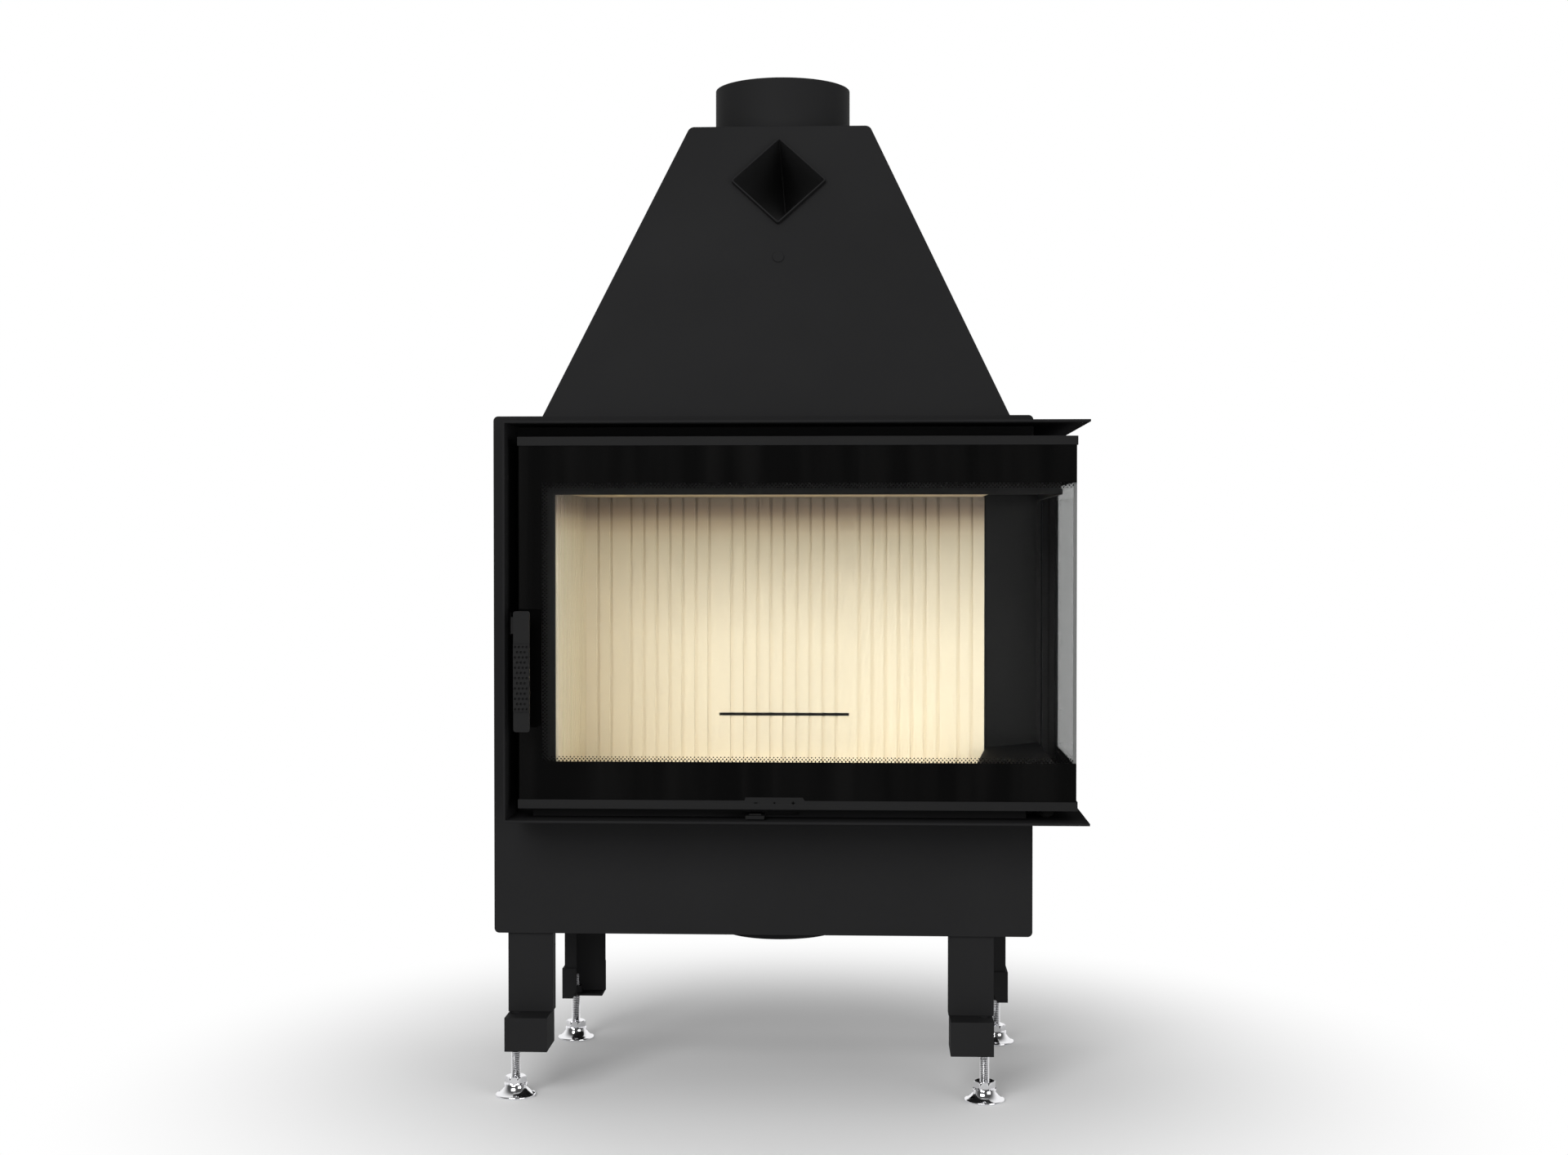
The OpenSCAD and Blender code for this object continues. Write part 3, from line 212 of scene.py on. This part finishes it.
def spread(nodes, links, source, low_value, high_value, socket):
    """Maps a 0 to 1 output to a range and feeds it to a socket."""
    node = nodes.new("ShaderNodeMapRange")
    node.inputs["To Min"].default_value = low_value
    node.inputs["To Max"].default_value = high_value
    links.new(source, node.inputs["Value"])
    links.new(node.outputs["Result"], socket)


def paint(name, colour, rough, level=0.12):
    """Heat-proof paint: fine grain, faint cloudy change of tone, soft sheen."""
    mat, nodes, links, bsdf = shader(name)
    cloud = texture(nodes, links, "ShaderNodeTexNoise", PAINT_CLOUD, Detail=3.0)
    grain = texture(nodes, links, "ShaderNodeTexNoise", PAINT_GRAIN, Detail=2.0)
    tone = ramp(nodes, links, cloud.outputs["Fac"], tones(colour, 0.95, 1.05))
    links.new(tone.outputs["Color"], bsdf.inputs["Base Color"])
    spread(nodes, links, grain.outputs["Fac"], rough - 0.06, rough + 0.06,
           bsdf.inputs["Roughness"])
    bump(nodes, links, grain.outputs["Fac"], PAINT_RELIEF, bsdf)
    bsdf.inputs["Specular IOR Level"].default_value = level
    return mat


def enamel(name, colour, reflection_streak):
    """Black enamel fired on the glass: as smooth as the glass, with faint lighter upright streaks
    that are painted reflections.
    """
    mat, nodes, links, bsdf = shader(name)
    coord = nodes.new("ShaderNodeTexCoord")
    squeeze = nodes.new("ShaderNodeMapping")
    squeeze.inputs["Scale"].default_value = ENAMEL_REFLECTION_STREAK
    links.new(coord.outputs["Object"], squeeze.inputs["Vector"])
    reflection_band = nodes.new("ShaderNodeTexNoise")
    reflection_band.inputs["Scale"].default_value = 1.0
    reflection_band.inputs["Detail"].default_value = 3.0
    links.new(squeeze.outputs["Vector"], reflection_band.inputs["Vector"])
    # painted reflection: lighter upright streaks in the black
    tone = ramp(nodes, links, reflection_band.outputs["Fac"], [(0.42, colour), (0.68, reflection_streak)])
    links.new(tone.outputs["Color"], bsdf.inputs["Base Color"])
    spread(nodes, links, reflection_band.outputs["Fac"], 0.04, 0.1, bsdf.inputs["Roughness"])
    bsdf.inputs["Specular IOR Level"].default_value = 0.5
    return mat


def painted_top_shade(nodes, links, source):
    """Painted shade: darkens a colour towards the top of the fire chamber, where the roof's
    shadow falls.
    """
    coord = nodes.new("ShaderNodeTexCoord")
    parts = nodes.new("ShaderNodeSeparateXYZ")
    links.new(coord.outputs["Object"], parts.inputs["Vector"])
    rise = nodes.new("ShaderNodeMapRange")
    rise.inputs["From Min"].default_value = TOP_SHADE_LOW
    rise.inputs["From Max"].default_value = TOP_SHADE_HIGH
    links.new(parts.outputs["Z"], rise.inputs["Value"])
    shade_tone = ramp(nodes, links, rise.outputs["Result"], TOP_SHADE_TONES)
    mix = nodes.new("ShaderNodeMix")
    mix.data_type = "RGBA"
    mix.blend_type = "MULTIPLY"
    mix.inputs["Factor"].default_value = 1.0
    links.new(source, mix.inputs["A"])
    links.new(shade_tone.outputs["Color"], mix.inputs["B"])
    return mix.outputs["Result"]


def clay(name, colour, top_shade=True):
    """Pressed fireclay: pale, matt, with fine pores and very faint patches; with top_shade, a
    painted shade darkens it towards the chamber's top.
    """
    mat, nodes, links, bsdf = shader(name)
    patch = texture(nodes, links, "ShaderNodeTexNoise", CLAY_PATCH, Detail=2.0)
    pore = texture(nodes, links, "ShaderNodeTexNoise", CLAY_PORE, Detail=3.0)
    tone = ramp(nodes, links, patch.outputs["Fac"], tones(colour, 0.975, 1.02))
    out = tone.outputs["Color"]
    # painted shade: the colour darkens towards the chamber's top when top_shade is on
    links.new(painted_top_shade(nodes, links, out) if top_shade else out, bsdf.inputs["Base Color"])
    spread(nodes, links, pore.outputs["Fac"], 0.85, 0.97, bsdf.inputs["Roughness"])
    bump(nodes, links, pore.outputs["Fac"], CLAY_RELIEF, bsdf)
    bsdf.inputs["Specular IOR Level"].default_value = 0.15
    return mat


def plated(name, colour, rough):
    """Bright plated steel with a cloudy polish."""
    mat, nodes, links, bsdf = shader(name)
    cloud = texture(nodes, links, "ShaderNodeTexNoise", POLISH_CLOUD, Detail=3.0)
    tone = ramp(nodes, links, cloud.outputs["Fac"], tones(colour, 0.94, 1.0))
    links.new(tone.outputs["Color"], bsdf.inputs["Base Color"])
    spread(nodes, links, cloud.outputs["Fac"], rough * 0.7, rough * 1.4,
           bsdf.inputs["Roughness"])
    bsdf.inputs["Metallic"].default_value = 1.0
    return mat


def cast(name, colour):
    """Rough sand-cast iron."""
    mat, nodes, links, bsdf = shader(name)
    sand = texture(nodes, links, "ShaderNodeTexNoise", CAST_SAND, Detail=4.0)
    tone = ramp(nodes, links, sand.outputs["Fac"], tones(colour, 0.8, 1.25))
    links.new(tone.outputs["Color"], bsdf.inputs["Base Color"])
    spread(nodes, links, sand.outputs["Fac"], 0.6, 0.85, bsdf.inputs["Roughness"])
    bump(nodes, links, sand.outputs["Fac"], CAST_RELIEF, bsdf)
    return mat


def braid(name, colour):
    """Braided glass rope: crossing diagonal strands."""
    mat, nodes, links, bsdf = shader(name)
    one = texture(nodes, links, "ShaderNodeTexWave", BRAID_STRAND, Distortion=1.5)
    two = texture(nodes, links, "ShaderNodeTexVoronoi", BRAID_CELL)
    mix = nodes.new("ShaderNodeMath")
    mix.operation = "MULTIPLY"
    links.new(one.outputs["Fac"], mix.inputs[0])
    links.new(two.outputs["Distance"], mix.inputs[1])
    tone = ramp(nodes, links, mix.outputs["Value"],
                [(0.0, shade(colour, 0.5)), (0.5, shade(colour, 1.3))])
    links.new(tone.outputs["Color"], bsdf.inputs["Base Color"])
    bsdf.inputs["Roughness"].default_value = 0.95
    bump(nodes, links, mix.outputs["Value"], BRAID_RELIEF, bsdf)
    return mat


def clear_glass(name, ior=1.38):
    """Glass ceramic: clear, faintly tinted in clouds, lets shadow rays through."""
    mat, nodes, links, bsdf = shader(name)
    haze = texture(nodes, links, "ShaderNodeTexNoise", GLASS_CLOUD, Detail=1.0)
    tint = ramp(nodes, links, haze.outputs["Fac"],
                list(zip((TONE_LOW, TONE_HIGH), GLASS_TINTS)))
    links.new(tint.outputs["Color"], bsdf.inputs["Base Color"])
    bsdf.inputs["Transmission Weight"].default_value = 1.0
    bsdf.inputs["IOR"].default_value = ior
    bsdf.inputs["Roughness"].default_value = 0.0
    path = nodes.new("ShaderNodeLightPath")
    through = nodes.new("ShaderNodeBsdfTransparent")
    through.inputs["Color"].default_value = GLASS_SHADOW
    mix = nodes.new("ShaderNodeMixShader")
    links.new(path.outputs["Is Shadow Ray"], mix.inputs["Fac"])
    links.new(bsdf.outputs["BSDF"], mix.inputs[1])
    links.new(through.outputs["BSDF"], mix.inputs[2])
    links.new(mix.outputs["Shader"], nodes["Material Output"].inputs["Surface"])
    return mat


# Painted shade on the fireclay under the chamber roof: height where it starts, and its tone up to
# the slabs' top
TOP_SHADE_HIGH = high("left_slab").z
TOP_SHADE_LOW = TOP_SHADE_HIGH - 0.20
TOP_SHADE_TONES = [(0.0, (1.0, 1.0, 1.0)), (0.5, (0.96, 0.96, 0.96)), (0.68, (0.93, 0.93, 0.92)),
         (0.76, (0.9, 0.88, 0.86)), (0.83, (0.72, 0.67, 0.64)), (0.89, (0.47, 0.42, 0.42)),
         (0.94, (0.34, 0.31, 0.33)), (1.0, (0.3, 0.29, 0.31))]

STEEL = paint("black_steel_paint", (0.0168, 0.0168, 0.0173), 0.6, level=0.03)
COLLAR_PAINT = paint("collar_paint", (0.0168, 0.0168, 0.0173), 0.6, level=0.0)
RAIL_PAINT = paint("rail_paint", (0.0148, 0.0148, 0.0150), 0.55, level=0.05)
DARK = paint("dark_steel_paint", (0.0045, 0.0043, 0.0042), 0.55)
FRAME_BLACK = paint("firebox_black", (0.0030, 0.0029, 0.0028), 0.5)
FRAME_GREY = paint("firebox_grey", (0.0075, 0.0074, 0.0070), 0.55)
LIP_GREY = paint("mouth_lip_grey", (0.0095, 0.0094, 0.0092), 0.55, level=0.05)
# painted shade for the inside of the secondary air slot
SLOT_SHADE_GREY = paint("slot_painted_shade_grey", (0.05, 0.045, 0.04), 0.6, level=0.05)
PLATE_BLACK = paint("plate_black", (0.0006, 0.0006, 0.0006), 0.6, level=0.02)
# The print's lighter second tone is a painted reflection
PRINT = enamel("printed_enamel", (0.0008, 0.0008, 0.0008), (0.0035, 0.0034, 0.0033))
GREY_LEDGE = paint("ledge_paint", (0.0030, 0.0029, 0.0028), 0.6, level=0.05)
PANEL = paint("corner_panel_paint", (0.0115, 0.0115, 0.0113), 0.6, level=0.05)
# The fireclay carries the painted shade towards the chamber's top; the baffle does not
CLAY = clay("fireclay", (0.79, 0.70, 0.525))
BAFFLE = clay("vermiculite", (0.55, 0.46, 0.32), top_shade=False)
CHROME = plated("chrome_plate", (0.9, 0.9, 0.92), 0.12)
IRON = cast("cast_iron", (0.02, 0.02, 0.021))
ROPE = braid("glass_rope", (0.03, 0.03, 0.03))
GLASS = clear_glass("glass_ceramic")
SIDE_GLASS = clear_glass("side_glass_ceramic", 1.28)
SEAL = paint("pale_silicone", (0.33, 0.33, 0.33), 0.5)

# ---- CAD nodes whose shape is right: only the material changes ----


def keep(node, material):
    data = frame["nodes"][node].data
    data.materials.clear()
    data.materials.append(material)


for name in ("firebox_shell", "firebox_roof", "firebox_floor", "ash_pan",
             "deck_plate", "rear_stile", "latch_keeper", "roller_hanger", "handle_shaft",
             "support_roller"):
    keep(name, DARK)
for name in ("front_stile", "corner_post"):
    keep(name, FRAME_BLACK)
keep("firebox_frame", FRAME_GREY)
keep("air_box", STEEL)
for name in ("back_slab_left", "back_slab_centre", "back_slab_right", "left_slab",
             "hearth_slabs"):
    keep(name, CLAY)
keep("smoke_baffle", BAFFLE)
keep("side_ledge", GREY_LEDGE)
keep("rear_corner_panel", PANEL)
keep("grate", IRON)
keep("door_gasket", ROPE)
keep("corner_seal", SEAL)
keep("front_glass", GLASS)
keep("side_glass", SIDE_GLASS)
keep("hinge_brackets", STEEL)

# ---- CAD nodes that get rounded edges ----

RAIL_EDGE = 0.4 * MM

for name in ("front_plate", "left_wall", "right_wall", "rear_wall", "roof_plate", "base_plate",
             "hood_shell", "hood_front", "hood_rear", "flue_collar", "diamond_duct", "probe_plug",
             "air_spigot", *("leg_" + c for c in CORNERS), *("block_" + c for c in CORNERS)):
    dress(name, STEEL)
dress("mounting_collar", COLLAR_PAINT)
for name in ("door_top_rail", "door_bottom_rail", "handle_bar", "handle_grip", "air_slider"):
    dress(name, RAIL_PAINT, RAIL_EDGE)
dress("handle_plate", PLATE_BLACK, RAIL_EDGE)

# ---- levelling feet: turned pad, hexagon with chamfered corners, threaded rod ----

FOOT_PAD = [(0.0, 0.0), (24.0, 0.0), (24.7, 0.3), (25.0, 1.0), (25.0, 2.4), (24.6, 3.1),
            (23.6, 3.6), (21.0, 4.3), (17.5, 7.6), (15.6, 10.6), (14.7, 13.2), (14.5, 15.6),
            (14.2, 16.0), (0.0, 16.0)]
PAD_CENTRE = 0.3
PAD_TURNS = 64
HEX_CORNER = 13.5
HEX_CHAMFER = 12.2
HEX_LOW, HEX_FULL_LOW, HEX_FULL_HIGH, HEX_TOP = 16.0, 16.8, 24.2, 25.0
HEX_TURNS = 48
HEX_SIDE = 60
ROD_R = 6.0
ROD_TURNS = 24
THREAD_PITCH = 1.75
THREAD_DEEP = 0.75
THREAD_STEPS = 4
FOOT_SHARP = 35.0


def rings(bm, centre, profile, turns):
    """Joins rings of points round a vertical line; a profile row is (radius(i), height)."""
    rows = []
    for radius, height in profile:
        row = []
        for i in range(turns):
            turn = 2 * math.pi * i / turns
            row.append(bm.verts.new((centre[0] + radius(i) * math.cos(turn) * MM,
                                     centre[1] + radius(i) * math.sin(turn) * MM,
                                     centre[2] + height * MM)))
        rows.append(row)
    for one, two in zip(rows, rows[1:]):
        for i in range(turns):
            j = (i + 1) % turns
            bm.faces.new((one[i], one[j], two[j], two[i]))
    bm.faces.new(list(reversed(rows[0])))
    bm.faces.new(rows[-1])


def constant(value):
    return lambda i: value


def hexagon(chamfer):
    """Radius of a hexagon's outline, its corners cut by a circle."""
    def radius(i):
        turn = math.radians((i * 360 / HEX_TURNS) % HEX_SIDE - HEX_SIDE / 2)
        flat = HEX_CORNER * math.cos(math.radians(HEX_SIDE / 2))
        return min(flat / math.cos(turn), chamfer)
    return radius


def thread(z):
    """Radius of the rod at a height above its root, with one ridge a pitch."""
    def radius(i):
        phase = (z / THREAD_PITCH - i / ROD_TURNS) % 1.0
        return ROD_R - THREAD_DEEP * abs(2 * phase - 1)
    return radius


def foot_piece(node):
    """The whole levelling foot, as large as its solid."""
    lo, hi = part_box(node)
    centre = ((lo.x + hi.x) / 2, (lo.y + hi.y) / 2, lo.z)
    bm = bmesh.new()
    rings(bm, centre, [(constant(max(r, PAD_CENTRE)), z) for r, z in FOOT_PAD], PAD_TURNS)
    rings(bm, centre, [(hexagon(HEX_CHAMFER), HEX_LOW), (hexagon(HEX_CORNER), HEX_FULL_LOW),
                       (hexagon(HEX_CORNER), HEX_FULL_HIGH), (hexagon(HEX_CHAMFER), HEX_TOP)],
          HEX_TURNS)
    length = (hi.z - lo.z) / MM - HEX_TOP
    steps = int(length / THREAD_PITCH * THREAD_STEPS)
    heights = [length * k / steps for k in range(steps + 1)]
    rings(bm, centre, [(thread(z), HEX_TOP + z) for z in heights], ROD_TURNS)
    body = frame["nodes"][node]["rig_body"]
    piece = new_piece("look_" + node, bm, body, CHROME, FOOT_SHARP)
    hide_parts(node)


for corner in CORNERS:
    foot_piece("foot_" + corner)

# ---- printed border of the two panes ----

DOT_PITCH = 4.55 * MM
DOT_SIZES = (1.35, 1.2, 1.0)
DOT_START = 0.45
PRINT_OUT = 0.06 * MM
PANE_INSET = 0.3 * MM
BORDER_LOW = 46.2 * MM
BORDER_HIGH = 45.1 * MM
BORDER_HANDLE = 27.5 * MM
BORDER_HINGE = 26 * MM


def quad(bm, corners):
    bm.faces.new([bm.verts.new(c) for c in corners])


def dot(bm, place, at, radius):
    """A small diamond dot at (u, z) of a pane."""
    u, z = at
    quad(bm, [place(u - radius, z), place(u, z - radius), place(u + radius, z),
              place(u, z + radius)])


def printed_pane(name, place, span, borders):
    """Solid border strips with three rows of shrinking dots on their inner side."""
    u0, u1 = span
    left, right, bottom, top = borders
    z0, z1 = PANE_LOW, PANE_HIGH
    bm = bmesh.new()

    def strip(a, b, c, d):
        quad(bm, [place(a, c), place(b, c), place(b, d), place(a, d)])

    strip(u0, u1, z0, z0 + bottom)
    strip(u0, u1, z1 - top, z1)
    if left:
        strip(u0, u0 + left, z0 + bottom, z1 - top)
    if right:
        strip(u1 - right, u1, z0 + bottom, z1 - top)
    inner_low, inner_high = z0 + bottom, z1 - top
    inner_left, inner_right = u0 + left, u1 - right
    for row, size in enumerate(DOT_SIZES):
        radius = size * MM
        off = (row + DOT_START) * DOT_PITCH / 2
        shift = (row % 2) * DOT_PITCH / 2
        count = int((inner_right - inner_left) / DOT_PITCH)
        for i in range(count):
            u = inner_left + shift + (i + 0.5) * DOT_PITCH
            dot(bm, place, (u, inner_low + off), radius)
            dot(bm, place, (u, inner_high - off), radius)
        rows = int((inner_high - inner_low) / DOT_PITCH)
        for i in range(rows):
            z = inner_low + shift + (i + 0.5) * DOT_PITCH
            if left:
                dot(bm, place, (inner_left + off, z), radius)
            if right:
                dot(bm, place, (inner_right - off, z), radius)
    new_piece(name, bm, "door", PRINT)


printed_pane("front_print", lambda u, z: (u, GLASS_FRONT - PRINT_OUT, z),
             (GLASS_LEFT + PANE_INSET, GLASS_RIGHT - PANE_INSET),
             (BORDER_HANDLE, 0.0, BORDER_LOW, BORDER_HIGH))
printed_pane("side_print", lambda u, z: (GLASS_RIGHT + PRINT_OUT, u, z),
             (low("side_glass").y + PANE_INSET, GLASS_REAR - PANE_INSET),
             (0.0, BORDER_HINGE, BORDER_LOW, BORDER_HIGH))

# ---- marks on the index plate: minus, middle, plus ----

MARK_X = (-33.15, -10.65, 11.85)
MARK_Z = 378.0
MARK_LONG = 2.0
MARK_THIN = 0.65
MARK_OUT = 0.03


def index_marks():
    """Minus, a square for the middle, and plus, as thin quads in front of the plate."""
    front = low("door_bottom_rail").y - MARK_OUT * MM
    bm = bmesh.new()

    def bar(x, half_x, half_z, z=MARK_Z):
        quad(bm, [((x + a * half_x) * MM, front, (z + b * half_z) * MM)
                  for a, b in ((-1, -1), (1, -1), (1, 1), (-1, 1))])

    minus, middle, plus = MARK_X
    bar(minus, MARK_LONG, MARK_THIN)
    bar(middle, MARK_LONG * 0.5, MARK_LONG * 0.5)
    bar(plus, MARK_LONG, MARK_THIN)
    arm = (MARK_LONG + MARK_THIN) / 2
    for side in (-1, 1):
        bar(plus, MARK_THIN, (MARK_LONG - MARK_THIN) / 2, MARK_Z + side * arm)
    new_piece("index_marks", bm, "door", PLATE_BLACK)


index_marks()

# ---- lighter raised lip over and beside the frame's mouth ----

MOUTH_HIGH = 748.8
LIP_TOP = 7.0
LIP_SIDE = 4.5
LIP_SKIN = 0.06
LIP_CORNER = 9.5
LIP_START = 18.0
LIP_ARC_STEPS = 8
LIP_SHARP = 60.0
MOUTH_TO_HEARTH = 2.0


def mouth_lip():
    """Thin skins in front of the raised lip: one over the mouth, one down its left side."""
    lo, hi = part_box("firebox_frame")
    front = lo.y - LIP_SKIN * MM
    right = hi.x + LIP_SKIN * MM
    corner = LIP_CORNER * MM
    x0 = low("hearth_slabs").x - (MOUTH_TO_HEARTH + LIP_SIDE) * MM
    z0, z1 = MOUTH_HIGH * MM, (MOUTH_HIGH + LIP_TOP) * MM
    path = [(x0, front)]
    for i in range(LIP_ARC_STEPS + 1):
        turn = math.radians(-90 + 90 / LIP_ARC_STEPS * i)
        path.append((right - corner + corner * math.cos(turn),
                     front + corner + corner * math.sin(turn)))
    path.append((right, hi.y))
    bm = bmesh.new()
    under, over = [[bm.verts.new((x, y, z)) for x, y in path] for z in (z0, z1)]
    for i in range(len(path) - 1):
        bm.faces.new((under[i], under[i + 1], over[i + 1], over[i]))
    x1 = x0 + LIP_SIDE * MM
    z2 = lo.z + LIP_START * MM
    quad(bm, [(x0, front, z2), (x1, front, z2), (x1, front, z0), (x0, front, z0)])
    new_piece("mouth_lip", bm, "body", LIP_GREY, LIP_SHARP)


mouth_lip()

# ---- painted shade in the secondary air slot: a dark sheet on its inner faces ----

SLOT_LOW = 72.7
SLOT_TALL = 4.0
SLOT_DEEP = 12.0
SHADE_SHEET_INSET = 0.05


def slot_painted_shade():
    """Painted shade: a dark sheet on the floor, ceiling and back of the slot."""
    lo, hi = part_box("back_slab_centre")
    x0, x1 = lo.x + SHADE_SHEET_INSET * MM, hi.x - SHADE_SHEET_INSET * MM
    y0, y1 = lo.y + SHADE_SHEET_INSET * MM, lo.y + (SLOT_DEEP - SHADE_SHEET_INSET) * MM
    z0 = lo.z + (SLOT_LOW + SHADE_SHEET_INSET) * MM
    z1 = z0 + (SLOT_TALL - 2 * SHADE_SHEET_INSET) * MM
    bm = bmesh.new()
    quad(bm, [(x0, y0, z0), (x1, y0, z0), (x1, y1, z0), (x0, y1, z0)])
    quad(bm, [(x0, y1, z1), (x1, y1, z1), (x1, y0, z1), (x0, y0, z1)])
    quad(bm, [(x0, y1, z0), (x1, y1, z0), (x1, y1, z1), (x0, y1, z1)])
    new_piece("slot_painted_shade", bm, "body", SLOT_SHADE_GREY)


slot_painted_shade()

# ---- floor, light, camera ----

FLOOR_R = 1.6
FLOOR_SIDES = 96
FLOOR_COLOUR = (0.9, 0.9, 0.9, 1.0)
# Distance from the middle over which the floor turns into the white backdrop
FLOOR_FADE = (0.3, 0.95)
WHITE = (1.0, 1.0, 1.0, 1.0)
WORLD_LIGHT = 0.5
# Level of the studio's front side, as reflections and as light through the glass see it,
# and the directions along Y between which it rises to white
STUDIO_FRONT = 0.07
STUDIO_DARK = 0.03
REFLECTED_RISE = (-0.5, 0.7)
THROUGH_RISE = (-0.97, -0.93)


def larger(nodes, links, one, two):
    """The larger of two outputs."""
    node = nodes.new("ShaderNodeMath")
    node.operation = "MAXIMUM"
    links.new(one, node.inputs[0])
    links.new(two, node.inputs[1])
    return node.outputs["Value"]


def studio_floor():
    """A pale floor that takes shadows near the object and is plain white further off."""
    bm = bmesh.new()
    bmesh.ops.create_circle(bm, cap_ends=True, segments=FLOOR_SIDES, radius=FLOOR_R)
    mesh = bpy.data.meshes.new("studio_floor")
    bm.to_mesh(mesh)
    bm.free()
    floor = link(bpy.data.objects.new("studio_floor", mesh))
    mat, nodes, links, bsdf = shader("studio_floor")
    bsdf.inputs["Base Color"].default_value = FLOOR_COLOUR
    bsdf.inputs["Roughness"].default_value = 0.9
    bsdf.inputs["Specular IOR Level"].default_value = 0.0
    coord = nodes.new("ShaderNodeTexCoord")
    length = nodes.new("ShaderNodeVectorMath")
    length.operation = "LENGTH"
    links.new(coord.outputs["Object"], length.inputs[0])
    far = nodes.new("ShaderNodeMapRange")
    far.interpolation_type = "SMOOTHSTEP"
    far.inputs["From Min"].default_value, far.inputs["From Max"].default_value = FLOOR_FADE
    links.new(length.outputs["Value"], far.inputs["Value"])
    path = nodes.new("ShaderNodeLightPath")
    seen = larger(nodes, links, path.outputs["Is Camera Ray"],
                  path.outputs["Is Transmission Ray"])
    seen = larger(nodes, links, seen, path.outputs["Is Glossy Ray"])
    gate = nodes.new("ShaderNodeMath")
    gate.operation = "MULTIPLY"
    links.new(far.outputs["Result"], gate.inputs[0])
    links.new(seen, gate.inputs[1])
    glow = nodes.new("ShaderNodeEmission")
    glow.inputs["Color"].default_value = WHITE
    mix = nodes.new("ShaderNodeMixShader")
    links.new(gate.outputs["Value"], mix.inputs["Fac"])
    links.new(bsdf.outputs["BSDF"], mix.inputs[1])
    links.new(glow.outputs["Emission"], mix.inputs[2])
    links.new(mix.outputs["Shader"], nodes["Material Output"].inputs["Surface"])
    mesh.materials.append(mat)


def float_mix(nodes, links, factor, one, two):
    """Mixes two levels; each is a socket or a number."""
    mix = nodes.new("ShaderNodeMix")
    mix.data_type = "FLOAT"
    links.new(factor, mix.inputs["Factor"])
    for socket, value in (("A", one), ("B", two)):
        if isinstance(value, float):
            mix.inputs[socket].default_value = value
        else:
            links.new(value, mix.inputs[socket])
    return mix.outputs["Result"]


def studio_world():
    """White behind the object and at its sides; the dim studio lies in front of it."""
    world = bpy.data.worlds.new("studio")
    bpy.context.scene.world = world
    world.use_nodes = True
    nodes, links = world.node_tree.nodes, world.node_tree.links
    back = nodes["Background"]
    back.inputs["Color"].default_value = WHITE
    path = nodes.new("ShaderNodeLightPath")
    coord = nodes.new("ShaderNodeTexCoord")
    parts = nodes.new("ShaderNodeSeparateXYZ")
    links.new(coord.outputs["Generated"], parts.inputs["Vector"])

    def rise(directions, low_level):
        """White where a ray looks to the rear, the low level where it looks to the front."""
        turn = nodes.new("ShaderNodeMapRange")
        turn.interpolation_type = "SMOOTHSTEP"
        turn.inputs["From Min"].default_value, turn.inputs["From Max"].default_value = directions
        turn.inputs["To Min"].default_value = low_level
        turn.inputs["To Max"].default_value = 1.0
        links.new(parts.outputs["Y"], turn.inputs["Value"])
        return turn.outputs["Result"]

    level = float_mix(nodes, links, path.outputs["Is Glossy Ray"], WORLD_LIGHT,
                      rise(REFLECTED_RISE, STUDIO_FRONT))
    level = float_mix(nodes, links, path.outputs["Is Transmission Ray"], level,
                      rise(THROUGH_RISE, STUDIO_DARK))
    level = float_mix(nodes, links, path.outputs["Is Camera Ray"], level, 1.0)
    links.new(level, back.inputs["Strength"])


def area(name, place, target, size, power):
    """A rectangular lamp that points at a target."""
    lamp = bpy.data.lights.new(name, "AREA")
    lamp.shape = "RECTANGLE"
    lamp.size, lamp.size_y = size
    lamp.energy = power
    obj = link(bpy.data.objects.new(name, lamp))
    obj.location = place
    aim = Vector(target) - Vector(place)
    obj.rotation_euler = aim.to_track_quat("-Z", "Y").to_euler()


studio_floor()
studio_world()
area("key", (-1.2, -3.4, 2.2), (0.0, 0.0, 0.7), (2.2, 1.8), 82.0)
area("fill", (2.7, -3.1, 0.75), (0.0, 0.0, 0.55), (2.0, 1.2), 36.0)
area("top", (0.2, -0.9, 3.4), (0.0, 0.0, 0.8), (2.4, 1.6), 4.0)

# The camera stands where the photograph was taken from: place, tilt below level, turn
CAMERA_PLACE = (0.1064, -2.6409, 0.688)
CAMERA_TILT = 0.916
CAMERA_SIDE = 2.474
CAMERA_LENS = 46.875
CAMERA_SENSOR = 36.0
camera_data = bpy.data.cameras.new("camera")
camera_data.lens = CAMERA_LENS
camera_data.sensor_width = CAMERA_SENSOR
camera_data.sensor_fit = "HORIZONTAL"
camera = link(bpy.data.objects.new("camera", camera_data))
camera.location = CAMERA_PLACE
camera.rotation_euler = (math.radians(90 - CAMERA_TILT), 0.0, math.radians(CAMERA_SIDE))
bpy.context.scene.camera = camera
bpy.context.scene.view_settings.view_transform = "Standard"
